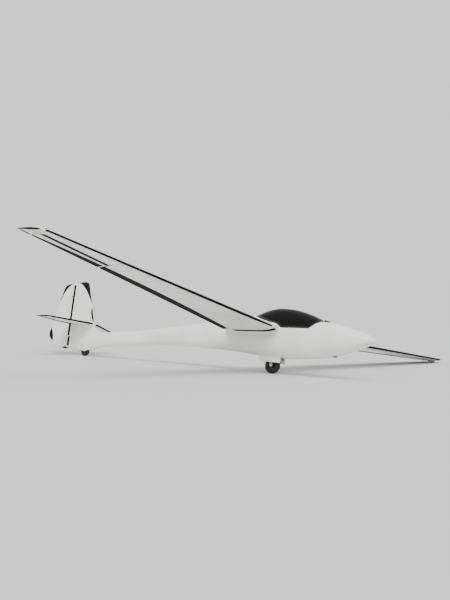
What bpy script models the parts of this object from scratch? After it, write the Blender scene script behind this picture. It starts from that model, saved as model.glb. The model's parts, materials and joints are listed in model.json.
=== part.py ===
"""Single-seat sailplane of 15 m span, parked on its two wheels and its left wing tip.

The aircraft is drawn level, in its own axes: a station is a distance aft of the nose, y is to the
left (port) and z is up from the nose's tip. The empty "parked" then tips all of it nose up and
left wing down, until both tyres and the left tip skid touch the floor at z = 0.
"""

import math

import bmesh
import bpy
from mathutils import Matrix, Vector

# Whole aircraft
HALF_SPAN = 7.5
SEAT_GAP = 0.0003
MOVING_GAP = 0.006
PIN_GAP = 0.0004

# Fuselage sections: station, top, bottom, half width, height of the widest point
FUSELAGE = (
    (0.000, -0.006, -0.030, 0.013, -0.018),
    (0.030, 0.016, -0.052, 0.040, -0.018),
    (0.150, 0.082, -0.100, 0.105, -0.014),
    (0.280, 0.134, -0.148, 0.150, -0.010),
    (0.500, 0.212, -0.216, 0.204, -0.005),
    (0.740, 0.280, -0.269, 0.241, 0.000),
    (0.980, 0.326, -0.303, 0.267, 0.008),
    (1.230, 0.438, -0.322, 0.283, 0.015),
    (1.470, 0.524, -0.328, 0.290, 0.022),
    (1.720, 0.582, -0.324, 0.292, 0.025),
    (1.960, 0.600, -0.305, 0.288, 0.030),
    (2.210, 0.556, -0.272, 0.277, 0.040),
    (2.450, 0.468, -0.232, 0.258, 0.055),
    (2.750, 0.415, -0.184, 0.224, 0.075),
    (3.050, 0.392, -0.146, 0.190, 0.095),
    (3.630, 0.357, -0.088, 0.150, 0.120),
    (4.370, 0.286, -0.040, 0.118, 0.125),
    (5.160, 0.230, -0.038, 0.090, 0.110),
    (5.750, 0.216, -0.060, 0.070, 0.095),
    (5.980, 0.212, -0.126, 0.066, 0.080),
    (6.100, 0.210, -0.145, 0.066, 0.070),
    (6.230, 0.208, -0.138, 0.062, 0.070),
    (6.330, 0.206, -0.112, 0.055, 0.075),
    (6.580, 0.204, -0.058, 0.041, 0.080),
)
SECTION_POWER_TOP = 2.0
SECTION_POWER_BOTTOM = 2.25
SECTION_POINTS = 36
NOSE_CAP_END = 0.30
COCKPIT_END = 1.98
CENTRE_END = 3.40
COCKPIT_WALL = 0.018
CAVITY_START = 0.38

# Canopy edge seen from the side: station, height
CANOPY_EDGE = (
    (0.930, 0.380),
    (1.010, 0.340),
    (1.070, 0.313),
    (1.127, 0.280),
    (1.190, 0.230),
    (1.228, 0.194),
    (1.255, 0.184),
    (1.500, 0.196),
    (1.770, 0.204),
    (1.808, 0.212),
    (1.850, 0.247),
    (1.905, 0.284),
    (1.975, 0.304),
    (2.050, 0.320),
    (2.180, 0.363),
    (2.320, 0.414),
    (2.456, 0.466),
    (2.560, 0.510),
)
CANOPY_GAP = 0.006
CANOPY_FRAME_WIDTH = 0.030
CANOPY_FRAME_THICK = 0.016
CANOPY_GLASS_THICK = 0.006
CANOPY_HINGE = (1.005, 0.350)

# Wing
ROOT_Y = 0.335
TIP_JOINT_Y = 7.26
WING_REF_Y = 0.3
WING_SLOPE_SPAN = 6.9
ROOT_LE, TIP_LE = 1.824, 2.096
ROOT_CHORD, TIP_CHORD = 1.057, 0.470
ROOT_Z = 0.190
DIHEDRAL = math.radians(3.9)
ROOT_INCIDENCE = math.radians(1.5)
ROOT_THICKNESS, TIP_THICKNESS = 0.138, 0.125
WING_CAMBER = 0.025
TRAILING_EDGE = 0.003
# Rounded ends: distance out, share of the chord that is left in front of the trailing edge
TIP_CAP = ((7.36, 0.95), (7.43, 0.80), (7.47, 0.60), (7.50, 0.28))
AILERON_IN_Y, AILERON_OUT_Y = 5.13, 7.20
AILERON_CHORD_IN, AILERON_CHORD_OUT = 0.235, 0.205
AILERON_END_SLANT = 0.45
AIRBRAKE_IN_Y, AIRBRAKE_OUT_Y = 1.95, 3.15
AIRBRAKE_CHORD_SHARE = 0.46
AIRBRAKE_THICK = 0.010
AIRBRAKE_BLADE = 0.082
AIRBRAKE_CAP_WIDTH = 0.034

# Tail
HINGE_LOW = (6.535, -0.045)
HINGE_HIGH = (6.436, 1.175)
RUDDER_NOSE_LOW, RUDDER_NOSE_HIGH = 0.040, 0.023
# Fin: height, leading edge station, share of full thickness, drop of the section at the hinge
FIN = (
    (0.160, 5.450, 1.0, 0.0),
    (0.218, 5.729, 1.0, 0.0),
    (0.238, 5.820, 1.0, 0.0),
    (0.286, 5.888, 1.0, 0.0),
    (0.346, 5.930, 1.0, 0.0),
    (0.412, 5.951, 1.0, 0.0),
    (0.671, 6.004, 1.0, 0.0),
    (1.003, 6.075, 1.0, 0.0),
    (1.110, 6.098, 1.0, 0.0),
    (1.158, 6.114, 0.92, 0.004),
    (1.182, 6.138, 0.70, 0.012),
    (1.194, 6.185, 0.34, 0.020),
)
# Rudder: height, trailing edge station, share of full nose radius
RUDDER = (
    (-0.070, 6.585, 0.55),
    (-0.056, 6.640, 0.85),
    (-0.018, 6.715, 1.0),
    (0.030, 6.786, 1.0),
    (0.076, 6.858, 1.0),
    (0.125, 6.910, 1.0),
    (0.181, 6.944, 1.0),
    (0.247, 6.942, 1.0),
    (0.335, 6.910, 1.0),
    (0.600, 6.818, 1.0),
    (0.874, 6.731, 1.0),
    (1.039, 6.678, 1.0),
    (1.108, 6.646, 1.0),
    (1.142, 6.604, 0.92),
    (1.160, 6.550, 0.70),
    (1.168, 6.500, 0.40),
)
TAILPLANE_Z = 0.388
TAILPLANE_ROOT_Y = 0.050
TAILPLANE_HALF_SPAN = 1.12
TAILPLANE_ROOT = (5.930, 6.468)
TAILPLANE_TIP = (6.225, 6.520)
TAILPLANE_THICKNESS = 0.105
TAILPLANE_TIP_Y = 1.05
TAILPLANE_CAP = ((1.085, 0.90), (1.107, 0.70), (1.12, 0.38))
TAILPLANE_PIVOT = 6.125
TAILPLANE_TUBE = 0.014

# Main wheel and its fork
WHEEL = (2.066, -0.433)
WHEEL_RING, WHEEL_TUBE = 0.100, 0.050
RIM_RADIUS = 0.060
AXLE_RADIUS, AXLE_HALF, HUB_HALF = 0.010, 0.083, 0.055
WELL = (1.850, 2.306)
WELL_HALF_WIDTH = 0.1003
WELL_TOP = -0.165
LEG_INSIDE, LEG_OUTSIDE = 0.058, 0.071
LEG_EYE = 0.032
DOOR = (1.866, 2.293)
DOOR_THICK = 0.012

# Tail wheel and its fork
TAIL_WHEEL = (6.100, -0.129)
TAIL_RING, TAIL_TUBE = 0.071, 0.021
TAIL_RIM = 0.056
TAIL_SLOT_HALF = 0.0323
TAIL_SLOT = (5.988, 6.214)
TAIL_SLOT_TOP = -0.018
TAIL_LEG_INSIDE, TAIL_LEG_OUTSIDE = 0.0267, 0.032
TAIL_AXLE_RADIUS, TAIL_HUB_HALF, TAIL_LEG_EYE = 0.006, 0.024, 0.016

# Seat back plane, which is also the rear wall of the cockpit
SEAT_BACK_LOW = (1.690, -0.330)
SEAT_BACK_HIGH = (1.960, 0.290)

# Skid under each wing tip
SKID_Y = 7.30
SKID_LENGTH, SKID_HEIGHT, SKID_WIDTH = 0.16, 0.035, 0.018


# Helpers: places, collections and materials


def at(station, y, z):
    """A point of the level aircraft from its station, its distance to the left and its height."""
    return Vector((-station, y, z))


def clear_scene():
    for item in list(bpy.data.objects):
        bpy.data.objects.remove(item)


def collection(name):
    made = bpy.data.collections.new(name)
    bpy.context.scene.collection.children.link(made)
    return made


def material(name, colour, roughness, metallic=0.0, alpha=1.0):
    made = bpy.data.materials.new(name)
    made.use_nodes = True
    shader = made.node_tree.nodes["Principled BSDF"]
    shader.inputs["Base Color"].default_value = (*colour, 1.0)
    shader.inputs["Roughness"].default_value = roughness
    shader.inputs["Metallic"].default_value = metallic
    shader.inputs["Alpha"].default_value = alpha
    return made


clear_scene()
PARTS = collection("sailplane")
CUTTERS = collection("cutters")
PARKED = bpy.data.objects.new("parked", None)
PARTS.objects.link(PARKED)

WHITE = material("white gelcoat", (0.86, 0.87, 0.86), 0.25)
BLACK_FRAME = material("black canopy frame", (0.02, 0.02, 0.022), 0.35)
SMOKED_GLASS = material("smoked acrylic", (0.01, 0.01, 0.012), 0.05, alpha=0.85)
RUBBER = material("tyre rubber", (0.02, 0.02, 0.02), 0.8)
ALUMINIUM = material("satin aluminium", (0.72, 0.73, 0.74), 0.4, 1.0)
BLACK_ENAMEL = material("black enamel", (0.012, 0.012, 0.013), 0.5)
STEEL = material("grey painted steel", (0.45, 0.46, 0.48), 0.45, 0.6)
COCKPIT_GREY = material("grey cockpit paint", (0.42, 0.43, 0.44), 0.6)
PANEL_BLACK = material("matt black panel", (0.03, 0.03, 0.03), 0.7)
LEATHER = material("dark leather", (0.10, 0.10, 0.11), 0.6)
NYLON = material("white nylon", (0.78, 0.78, 0.75), 0.55)


# Helpers: shapes


def link(made, finish=None):
    """Puts an object among the parts with its material, or among the cutters without one."""
    for held in list(made.users_collection):
        held.objects.unlink(made)
    if finish is None:
        CUTTERS.objects.link(made)
        made.hide_render = True
        made.display_type = "WIRE"
    else:
        PARTS.objects.link(made)
        made.data.materials.append(finish)
    made.parent = PARKED
    return made


def from_bmesh(name, shape, finish):
    bmesh.ops.recalc_face_normals(shape, faces=shape.faces)
    mesh = bpy.data.meshes.new(name)
    shape.to_mesh(mesh)
    shape.free()
    return link(bpy.data.objects.new(name, mesh), finish)


def loft(name, rings, finish=None):
    """A closed skin of triangles through rings that each have the same number of points."""
    shape = bmesh.new()
    rows = [[shape.verts.new(point) for point in ring] for ring in rings]
    for row, after in zip(rows, rows[1:]):
        for i in range(len(row)):
            j = (i + 1) % len(row)
            shape.faces.new((row[i], row[j], after[j]))
            shape.faces.new((row[i], after[j], after[i]))
    shape.faces.new(rows[0])
    shape.faces.new(rows[-1])
    return from_bmesh(name, shape, finish)


def box(name, low, high, finish=None):
    """A box between two corners given as station, y and z."""
    a, b = at(*low), at(*high)
    shape = bmesh.new()
    bmesh.ops.create_cube(shape, size=1.0)
    size = [abs(b[k] - a[k]) for k in range(3)]
    bmesh.ops.scale(shape, vec=size, verts=shape.verts)
    bmesh.ops.translate(shape, vec=(a + b) / 2, verts=shape.verts)
    return from_bmesh(name, shape, finish)


def rod(name, start, end, radius, finish=None, sides=16, end_radius=None):
    """A round bar, or a cone with two radii, between two points of the level aircraft."""
    start, end = Vector(start), Vector(end)
    along = end - start
    shape = bmesh.new()
    bmesh.ops.create_cone(
        shape,
        cap_ends=True,
        segments=sides,
        radius1=radius,
        radius2=end_radius or radius,
        depth=along.length,
    )
    turn = along.to_track_quat("Z", "Y").to_matrix().to_4x4()
    bmesh.ops.transform(shape, matrix=Matrix.Translation((start + end) / 2) @ turn, verts=shape.verts)
    return from_bmesh(name, shape, finish)


def side_plate(name, outline, y_low, y_high, finish=None):
    """A flat outline in the side view, given as station and height, as thick as y_low to y_high."""
    curve = bpy.data.curves.new(name, "CURVE")
    curve.dimensions = "2D"
    curve.fill_mode = "BOTH"
    curve.extrude = (y_high - y_low) / 2
    spline = curve.splines.new("POLY")
    spline.points.add(len(outline) - 1)
    for point, (station, z) in zip(spline.points, outline):
        point.co = (-station, z, 0, 1)
    spline.use_cyclic_u = True
    flat = bpy.data.objects.new(name + "_outline", curve)
    bpy.context.scene.collection.objects.link(flat)
    middle = Matrix.Translation((0, (y_low + y_high) / 2, 0))
    flat.matrix_world = middle @ Matrix.Rotation(math.pi / 2, 4, "X")
    bpy.context.view_layer.update()
    return meshed(flat, name, finish)


def meshed(curve_object, name, finish):
    """The curve as a closed mesh that a Boolean can cut, in place of the curve."""
    graph = bpy.context.evaluated_depsgraph_get()
    mesh = bpy.data.meshes.new_from_object(curve_object.evaluated_get(graph))
    mesh.transform(curve_object.matrix_world)
    shape = bmesh.new()
    shape.from_mesh(mesh)
    bmesh.ops.remove_doubles(shape, verts=shape.verts, dist=1e-6)
    bpy.data.objects.remove(curve_object)
    bpy.data.meshes.remove(mesh)
    return from_bmesh(name, shape, finish)


def tube(name, points, radius, finish, resolution=2):
    """A bent round bar along a smooth line through points of the level aircraft."""
    curve = bpy.data.curves.new(name, "CURVE")
    curve.dimensions = "3D"
    curve.bevel_depth = radius
    curve.bevel_resolution = resolution
    curve.use_fill_caps = True
    spline = curve.splines.new("POLY")
    spline.points.add(len(points) - 1)
    for point, place in zip(spline.points, points):
        point.co = (*place, 1)
    bent = bpy.data.objects.new(name + "_line", curve)
    bpy.context.scene.collection.objects.link(bent)
    bpy.context.view_layer.update()
    return meshed(bent, name, finish)


def turned(name, profile, station, z, finish, steps):
    """A shape turned about the crosswise axis through station and z; the profile is radius, y."""
    mesh = bpy.data.meshes.new(name)
    count = len(profile)
    mesh.from_pydata(
        [(radius, 0, y) for radius, y in profile], [(i, (i + 1) % count) for i in range(count)], []
    )
    made = bpy.data.objects.new(name, mesh)
    bpy.context.scene.collection.objects.link(made)
    screw = made.modifiers.new("turned", "SCREW")
    screw.steps = steps
    screw.render_steps = steps
    screw.use_merge_vertices = True
    screw.merge_threshold = 0.00001
    made.matrix_world = Matrix.Translation(at(station, 0, z)) @ Matrix.Rotation(-math.pi / 2, 4, "X")
    bpy.context.view_layer.update()
    return meshed(made, name, finish)


def boolean(target, other, operation):
    change = target.modifiers.new(f"{operation.lower()} {other.name}", "BOOLEAN")
    change.operation = operation
    change.solver = "EXACT"
    change.object = other
    return target


def cut(target, *others):
    for other in others:
        boolean(target, other, "DIFFERENCE")
    return target


def join(target, *others):
    for other in others:
        boolean(target, other, "UNION")
    return target


def keep_inside(target, other):
    return boolean(target, other, "INTERSECT")


def pivot(name, place):
    """An empty on a joint's axis, for the pieces that move with it."""
    made = bpy.data.objects.new(name, None)
    PARTS.objects.link(made)
    made.parent = PARKED
    made.location = place
    return made


def hang(made, holder):
    """Parents a piece to its joint's empty and leaves it where it is."""
    made.parent = holder
    made.location = -holder.location
    return made


# Helpers: curves through the driving tables


def smooth(table, x, column):
    """A smooth value of one column at x, through the table's rows, with no overshoot."""
    rows = len(table)
    k = max(i for i in range(rows - 1) if x >= table[i][0] or i == 0)

    def slope(i):
        if i == 0 or i == rows - 1:
            a, b = (0, 1) if i == 0 else (rows - 2, rows - 1)
            return (table[b][column] - table[a][column]) / (table[b][0] - table[a][0])
        before = (table[i][column] - table[i - 1][column]) / (table[i][0] - table[i - 1][0])
        after = (table[i + 1][column] - table[i][column]) / (table[i + 1][0] - table[i][0])
        if before * after <= 0:
            return 0.0
        return 2 * before * after / (before + after)

    width = table[k + 1][0] - table[k][0]
    t = (x - table[k][0]) / width
    first, last = table[k][column], table[k + 1][column]
    return (
        (2 * t**3 - 3 * t**2 + 1) * first
        + (t**3 - 2 * t**2 + t) * width * slope(k)
        + (3 * t**2 - 2 * t**3) * last
        + (t**3 - t**2) * width * slope(k + 1)
    )


def fuselage_ring(station, inset=0.0):
    """The fuselage's outline at a station, pulled in by inset."""
    top, bottom, half, middle = (smooth(FUSELAGE, station, k) for k in (1, 2, 3, 4))
    ring = []
    for i in range(SECTION_POINTS):
        angle = 2 * math.pi * i / SECTION_POINTS
        c, s = math.cos(angle), math.sin(angle)
        power = SECTION_POWER_TOP if s >= 0 else SECTION_POWER_BOTTOM
        height = (top - middle) if s >= 0 else (middle - bottom)
        y = (half - inset) * math.copysign(abs(c) ** (2 / power), c)
        z = middle + (height - inset) * math.copysign(abs(s) ** (2 / power), s)
        ring.append(at(station, y, z))
    return ring


def fuselage_stations():
    """The driving stations and those between them, closer together towards the nose."""
    stations = [FUSELAGE[0][0]]
    for (a, *_), (b, *_) in zip(FUSELAGE, FUSELAGE[1:]):
        count = max(1, round((b - a) / min(0.13, 0.04 + 0.2 * a)))
        stations += [a + (b - a) * (i + 1) / count for i in range(count)]
    return stations


def fuselage_loft(name, start, end, inset=0.0, finish=None):
    """The fuselage between two stations, on the same straight-sided rings wherever it is cut."""
    grid = fuselage_stations()
    rings = []
    for station in [start] + [s for s in grid if start + 0.001 < s < end - 0.001] + [end]:
        before = max(s for s in grid if s <= station + 1e-9)
        after = min(s for s in grid if s >= station - 1e-9)
        share = 0.0 if after == before else (station - before) / (after - before)
        pair = zip(fuselage_ring(before, inset), fuselage_ring(after, inset))
        rings.append([a.lerp(b, share) for a, b in pair])
    return loft(name, rings, finish)


def thickness_at(share, thickness):
    """Half the thickness of a wing section, as a share of its chord."""
    curve = 0.2969 * math.sqrt(share) - 0.126 * share - 0.3516 * share**2
    return 5 * thickness * (curve + 0.2843 * share**3 - 0.1036 * share**4)


def camber_at(share, camber):
    return 4 * camber * share * (1 - share)


def wing_section(leading, chord, y, z, thickness, camber, incidence, points=13):
    """A closed wing outline at y: over the top from the trailing edge, and back underneath."""
    ring = []
    blunt = TRAILING_EDGE / 2 / chord
    for side in (1, -1):
        for i in range(points):
            turn = math.pi * i / (points - 1)
            share = (1 + math.cos(turn)) / 2 if side > 0 else (1 - math.cos(turn)) / 2
            if side < 0 and i == 0:
                continue
            half = thickness_at(share, thickness) + blunt * share
            height = camber_at(share, camber) + side * half
            dx, dz = share * chord, height * chord
            turned_dx = dx * math.cos(incidence) + dz * math.sin(incidence)
            turned_dz = dz * math.cos(incidence) - dx * math.sin(incidence)
            ring.append(at(leading + turned_dx, y, z + turned_dz))
    return ring


def mix(a, b, share):
    return a + (b - a) * share


def wing_values(y):
    """Leading edge, chord, height, thickness and incidence of the wing at a distance y out."""
    share = (abs(y) - WING_REF_Y) / WING_SLOPE_SPAN
    return (
        mix(ROOT_LE, TIP_LE, share),
        mix(ROOT_CHORD, TIP_CHORD, share),
        ROOT_Z + (abs(y) - WING_REF_Y) * math.tan(DIHEDRAL),
        mix(ROOT_THICKNESS, TIP_THICKNESS, share),
        mix(ROOT_INCIDENCE, 0.0, share),
    )


def wing_point(y, share, side=0, hand=1):
    """A point of a wing: side 0 is on the camber line, 1 on the top and -1 underneath."""
    leading, chord, z, thickness, incidence = wing_values(y)
    height = camber_at(share, WING_CAMBER) + side * thickness_at(share, thickness)
    dx, dz = share * chord, height * chord
    return at(
        leading + dx * math.cos(incidence) + dz * math.sin(incidence),
        y * hand,
        z + dz * math.cos(incidence) - dx * math.sin(incidence),
    )


def plan_prism(name, corners, low, high):
    """A cutter that is upright over an outline in plan, given as station and y."""
    return loft(name, [[at(s, y, z) for s, y in corners] for z in (low, high)])


# Fuselage


def offset_line(line, distance):
    """A side-view line moved to its upper side by a distance."""
    moved = []
    for i, (station, z) in enumerate(line):
        before, after = line[max(i - 1, 0)], line[min(i + 1, len(line) - 1)]
        ds, dz = after[0] - before[0], after[1] - before[1]
        length = math.hypot(ds, dz)
        moved.append((station - distance * dz / length, z + distance * ds / length))
    return moved


def above_canopy_edge(name, distance):
    """A cutter for all that lies over the canopy's edge, moved up by a distance."""
    line = offset_line(CANOPY_EDGE, distance)
    roof = [(line[-1][0], 0.9), (line[0][0], 0.9)]
    return side_plate(name, line + roof, -0.45, 0.45)


def seat_plane(z):
    """The station of the cockpit's rear wall at a height."""
    share = (z - SEAT_BACK_LOW[1]) / (SEAT_BACK_HIGH[1] - SEAT_BACK_LOW[1])
    return mix(SEAT_BACK_LOW[0], SEAT_BACK_HIGH[0], share)


def hinge_station(z):
    share = (z - HINGE_LOW[1]) / (HINGE_HIGH[1] - HINGE_LOW[1])
    return mix(HINGE_LOW[0], HINGE_HIGH[0], share)


def rudder_radius(z):
    share = (z - HINGE_LOW[1]) / (HINGE_HIGH[1] - HINGE_LOW[1])
    return mix(RUDDER_NOSE_LOW, RUDDER_NOSE_HIGH, share)


LOW, HIGH = -0.7, 1.6
CANOPY_CUT = above_canopy_edge("canopy_cut", 0.0)
CAVITY = fuselage_loft("cockpit_cavity", CAVITY_START, 2.15, COCKPIT_WALL)
INTERIOR = fuselage_loft("cockpit_interior", CAVITY_START + SEAT_GAP, 2.15, COCKPIT_WALL + SEAT_GAP)
BEHIND_SEAT = side_plate(
    "behind_seat", [(seat_plane(LOW), LOW), (5, LOW), (5, HIGH), (seat_plane(HIGH), HIGH)], -0.5, 0.5
)
BEFORE_SEAT = side_plate(
    "before_seat",
    [(-1, LOW), (seat_plane(LOW) + SEAT_GAP, LOW), (seat_plane(HIGH) + SEAT_GAP, HIGH), (-1, HIGH)],
    -0.5,
    0.5,
)
WHEEL_WELL = box("wheel_well", (WELL[0], -WELL_HALF_WIDTH, LOW), (WELL[1], WELL_HALF_WIDTH, WELL_TOP))
TAIL_WELL = box(
    "tail_well", (TAIL_SLOT[0], -TAIL_SLOT_HALF, LOW), (TAIL_SLOT[1], TAIL_SLOT_HALF, TAIL_SLOT_TOP)
)
BEHIND_HINGE = side_plate(
    "behind_hinge", [(hinge_station(LOW), LOW), (8, LOW), (8, HIGH), (hinge_station(HIGH), HIGH)], -0.3, 0.3
)
RUDDER_ROOM = rod(
    "rudder_room",
    at(hinge_station(LOW), 0, LOW),
    at(hinge_station(HIGH), 0, HIGH),
    rudder_radius(LOW) + MOVING_GAP,
    sides=48,
    end_radius=rudder_radius(HIGH) + MOVING_GAP,
)

cockpit_shell = fuselage_loft("cockpit_shell", 0.0, 2.10, finish=WHITE)
cut(cockpit_shell, BEHIND_SEAT, CANOPY_CUT, CAVITY)

centre_fuselage = fuselage_loft("centre_fuselage", 1.45, CENTRE_END, finish=WHITE)
cut(centre_fuselage, BEFORE_SEAT, CANOPY_CUT, WHEEL_WELL)

tail_boom = fuselage_loft("tail_boom", CENTRE_END + SEAT_GAP, 6.57, finish=WHITE)
cut(tail_boom, TAIL_WELL, BEHIND_HINGE, RUDDER_ROOM)

# Fin and rudder

# Share of the chord from the leading edge to the hinge, share of the greatest half thickness
FIN_PROFILE = (
    (0.0, 0.0),
    (0.015, 0.26),
    (0.05, 0.47),
    (0.12, 0.68),
    (0.25, 0.88),
    (0.45, 1.0),
    (0.70, 1.0),
    (1.0, 0.90),
)
RUDDER_LUG_HEIGHTS = (0.08, 0.92)
LUG_HALF_HEIGHT, LUG_HALF_WIDTH, HINGE_PIN = 0.009, 0.006, 0.004


def fin_ring(z, leading, share, drop):
    chord = hinge_station(z) - leading
    thick = (rudder_radius(z) + 0.004) / FIN_PROFILE[-1][1] * share
    left = [at(leading + s * chord, t * thick, z - drop * s) for s, t in FIN_PROFILE]
    right = [at(leading + s * chord, -t * thick, z - drop * s) for s, t in FIN_PROFILE[:0:-1]]
    return left + right


def rudder_ring(z, trailing, share):
    axis, radius = hinge_station(z), rudder_radius(z) * share
    ring = []
    for i in range(13):
        angle = math.pi / 2 + math.pi * i / 12
        ring.append(at(axis + radius * math.cos(angle), radius * math.sin(angle), z))
    for part, thick in ((0.35, 0.78), (0.7, 0.43)):
        ring.append(at(mix(axis, trailing, part), -radius * thick, z))
    ring += [at(trailing, -0.0015 * share, z), at(trailing, 0.0015 * share, z)]
    for part, thick in ((0.7, 0.43), (0.35, 0.78)):
        ring.append(at(mix(axis, trailing, part), radius * thick, z))
    return ring


fin = loft("fin", [fin_ring(*row) for row in FIN], WHITE)
BOOM_ROOM = fuselage_loft("boom_room", 5.2, 6.57, -SEAT_GAP)
TAILPLANE_BORE = rod(
    "tailplane_bore",
    at(TAILPLANE_PIVOT, -0.2, TAILPLANE_Z),
    at(TAILPLANE_PIVOT, 0.2, TAILPLANE_Z),
    TAILPLANE_TUBE + PIN_GAP,
    sides=32,
)
cut(fin, BOOM_ROOM, RUDDER_ROOM, TAILPLANE_BORE)

rudder_pivot = pivot("rudder_pivot", at(hinge_station(0.5), 0, 0.5))
rudder = hang(loft("rudder", [rudder_ring(*row) for row in RUDDER], WHITE), rudder_pivot)

for height, holder in zip(RUDDER_LUG_HEIGHTS, (tail_boom, fin)):
    station = hinge_station(height)
    name = f"rudder_lug_{holder.name}"
    notch = box(
        name + "_notch",
        (station - 0.10, -0.08, height - LUG_HALF_HEIGHT - MOVING_GAP),
        (station + 0.016, 0.08, height + LUG_HALF_HEIGHT + MOVING_GAP),
    )
    reach = LUG_HALF_HEIGHT + MOVING_GAP + 0.018
    ends = [at(hinge_station(height + dz), 0, height + dz) for dz in (-reach, reach)]
    bore_ends = [at(hinge_station(height + dz), 0, height + dz) for dz in (-reach - 0.003, reach + 0.003)]
    cut(rudder, notch, rod(name + "_bore", *bore_ends, HINGE_PIN + PIN_GAP, sides=24))
    lug = box(
        name,
        (station - 0.09, -LUG_HALF_WIDTH, height - LUG_HALF_HEIGHT),
        (station + 0.006, LUG_HALF_WIDTH, height + LUG_HALF_HEIGHT),
    )
    join(holder, lug, rod(name + "_pin", *ends, HINGE_PIN, sides=24))

# Tailplane, all of which turns on a tube through the fin

tailplane_pivot = pivot("tailplane_pivot", at(TAILPLANE_PIVOT, 0, TAILPLANE_Z))


def tailplane_ring(y, share, hand):
    out = (y - TAILPLANE_ROOT_Y) / (TAILPLANE_TIP_Y - TAILPLANE_ROOT_Y)
    trailing = mix(TAILPLANE_ROOT[1], TAILPLANE_TIP[1], out)
    chord = (trailing - mix(TAILPLANE_ROOT[0], TAILPLANE_TIP[0], out)) * share
    return wing_section(trailing - chord, chord, y * hand, TAILPLANE_Z, TAILPLANE_THICKNESS, 0.0, 0.0, 11)


for hand, word in ((1, "left"), (-1, "right")):
    rows = [(TAILPLANE_ROOT_Y, 1.0), (0.55, 1.0), (TAILPLANE_TIP_Y, 1.0)] + list(TAILPLANE_CAP)
    half = loft(f"tailplane_{word}", [tailplane_ring(y, share, hand) for y, share in rows], WHITE)
    socket = rod(
        f"tailplane_socket_{word}",
        at(TAILPLANE_PIVOT, 0, TAILPLANE_Z),
        at(TAILPLANE_PIVOT, 0.2203 * hand, TAILPLANE_Z),
        TAILPLANE_TUBE + SEAT_GAP,
        sides=32,
    )
    hang(cut(half, socket), tailplane_pivot)
tailplane_tube = rod(
    "tailplane_tube",
    at(TAILPLANE_PIVOT, -0.22, TAILPLANE_Z),
    at(TAILPLANE_PIVOT, 0.22, TAILPLANE_Z),
    TAILPLANE_TUBE,
    ALUMINIUM,
    sides=32,
)
hang(tailplane_tube, tailplane_pivot)

# Wings

FUSELAGE_ROOM = fuselage_loft("fuselage_room", 1.3, 3.39, -SEAT_GAP)
AILERON_PIN, AILERON_PIN_IN = 0.004, 0.035
FAIRING = ((0.335, 1.0, 1.0), (0.315, 1.01, 1.02), (0.27, 1.06, 1.10), (0.20, 1.15, 1.28), (0.10, 1.25, 1.5))


def wing_ring(y, hand, chord_share=1.0, drop=0.0):
    leading, chord, z, thickness, incidence = wing_values(y)
    front = leading + chord * (1 - chord_share)
    return wing_section(front, chord * chord_share, y * hand, z - drop, thickness, WING_CAMBER, incidence)


def aileron_hinge(y, hand):
    """A point of the aileron's axis, and the radius of the aileron's round nose there."""
    chord = wing_values(y)[1]
    out = (y - AILERON_IN_Y) / (AILERON_OUT_Y - AILERON_IN_Y)
    share = 1 - mix(AILERON_CHORD_IN, AILERON_CHORD_OUT, out) / chord
    thickness = wing_values(y)[3]
    return wing_point(y, share, 0, hand), (thickness_at(share, thickness) - 0.004) * chord


def aileron_outline(hand, margin):
    """The aileron in plan, wider at its two ends by the margin."""
    corners = []
    for y, sign in ((AILERON_IN_Y, -1), (AILERON_OUT_Y, 1)):
        point = aileron_hinge(y, hand)[0]
        trailing = -point.x + 0.30
        corners.append((-point.x, (y + sign * margin) * hand))
        corners.append((trailing, (y + sign * margin - AILERON_END_SLANT * 0.30) * hand))
    return [corners[0], corners[1], corners[3], corners[2]]


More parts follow.
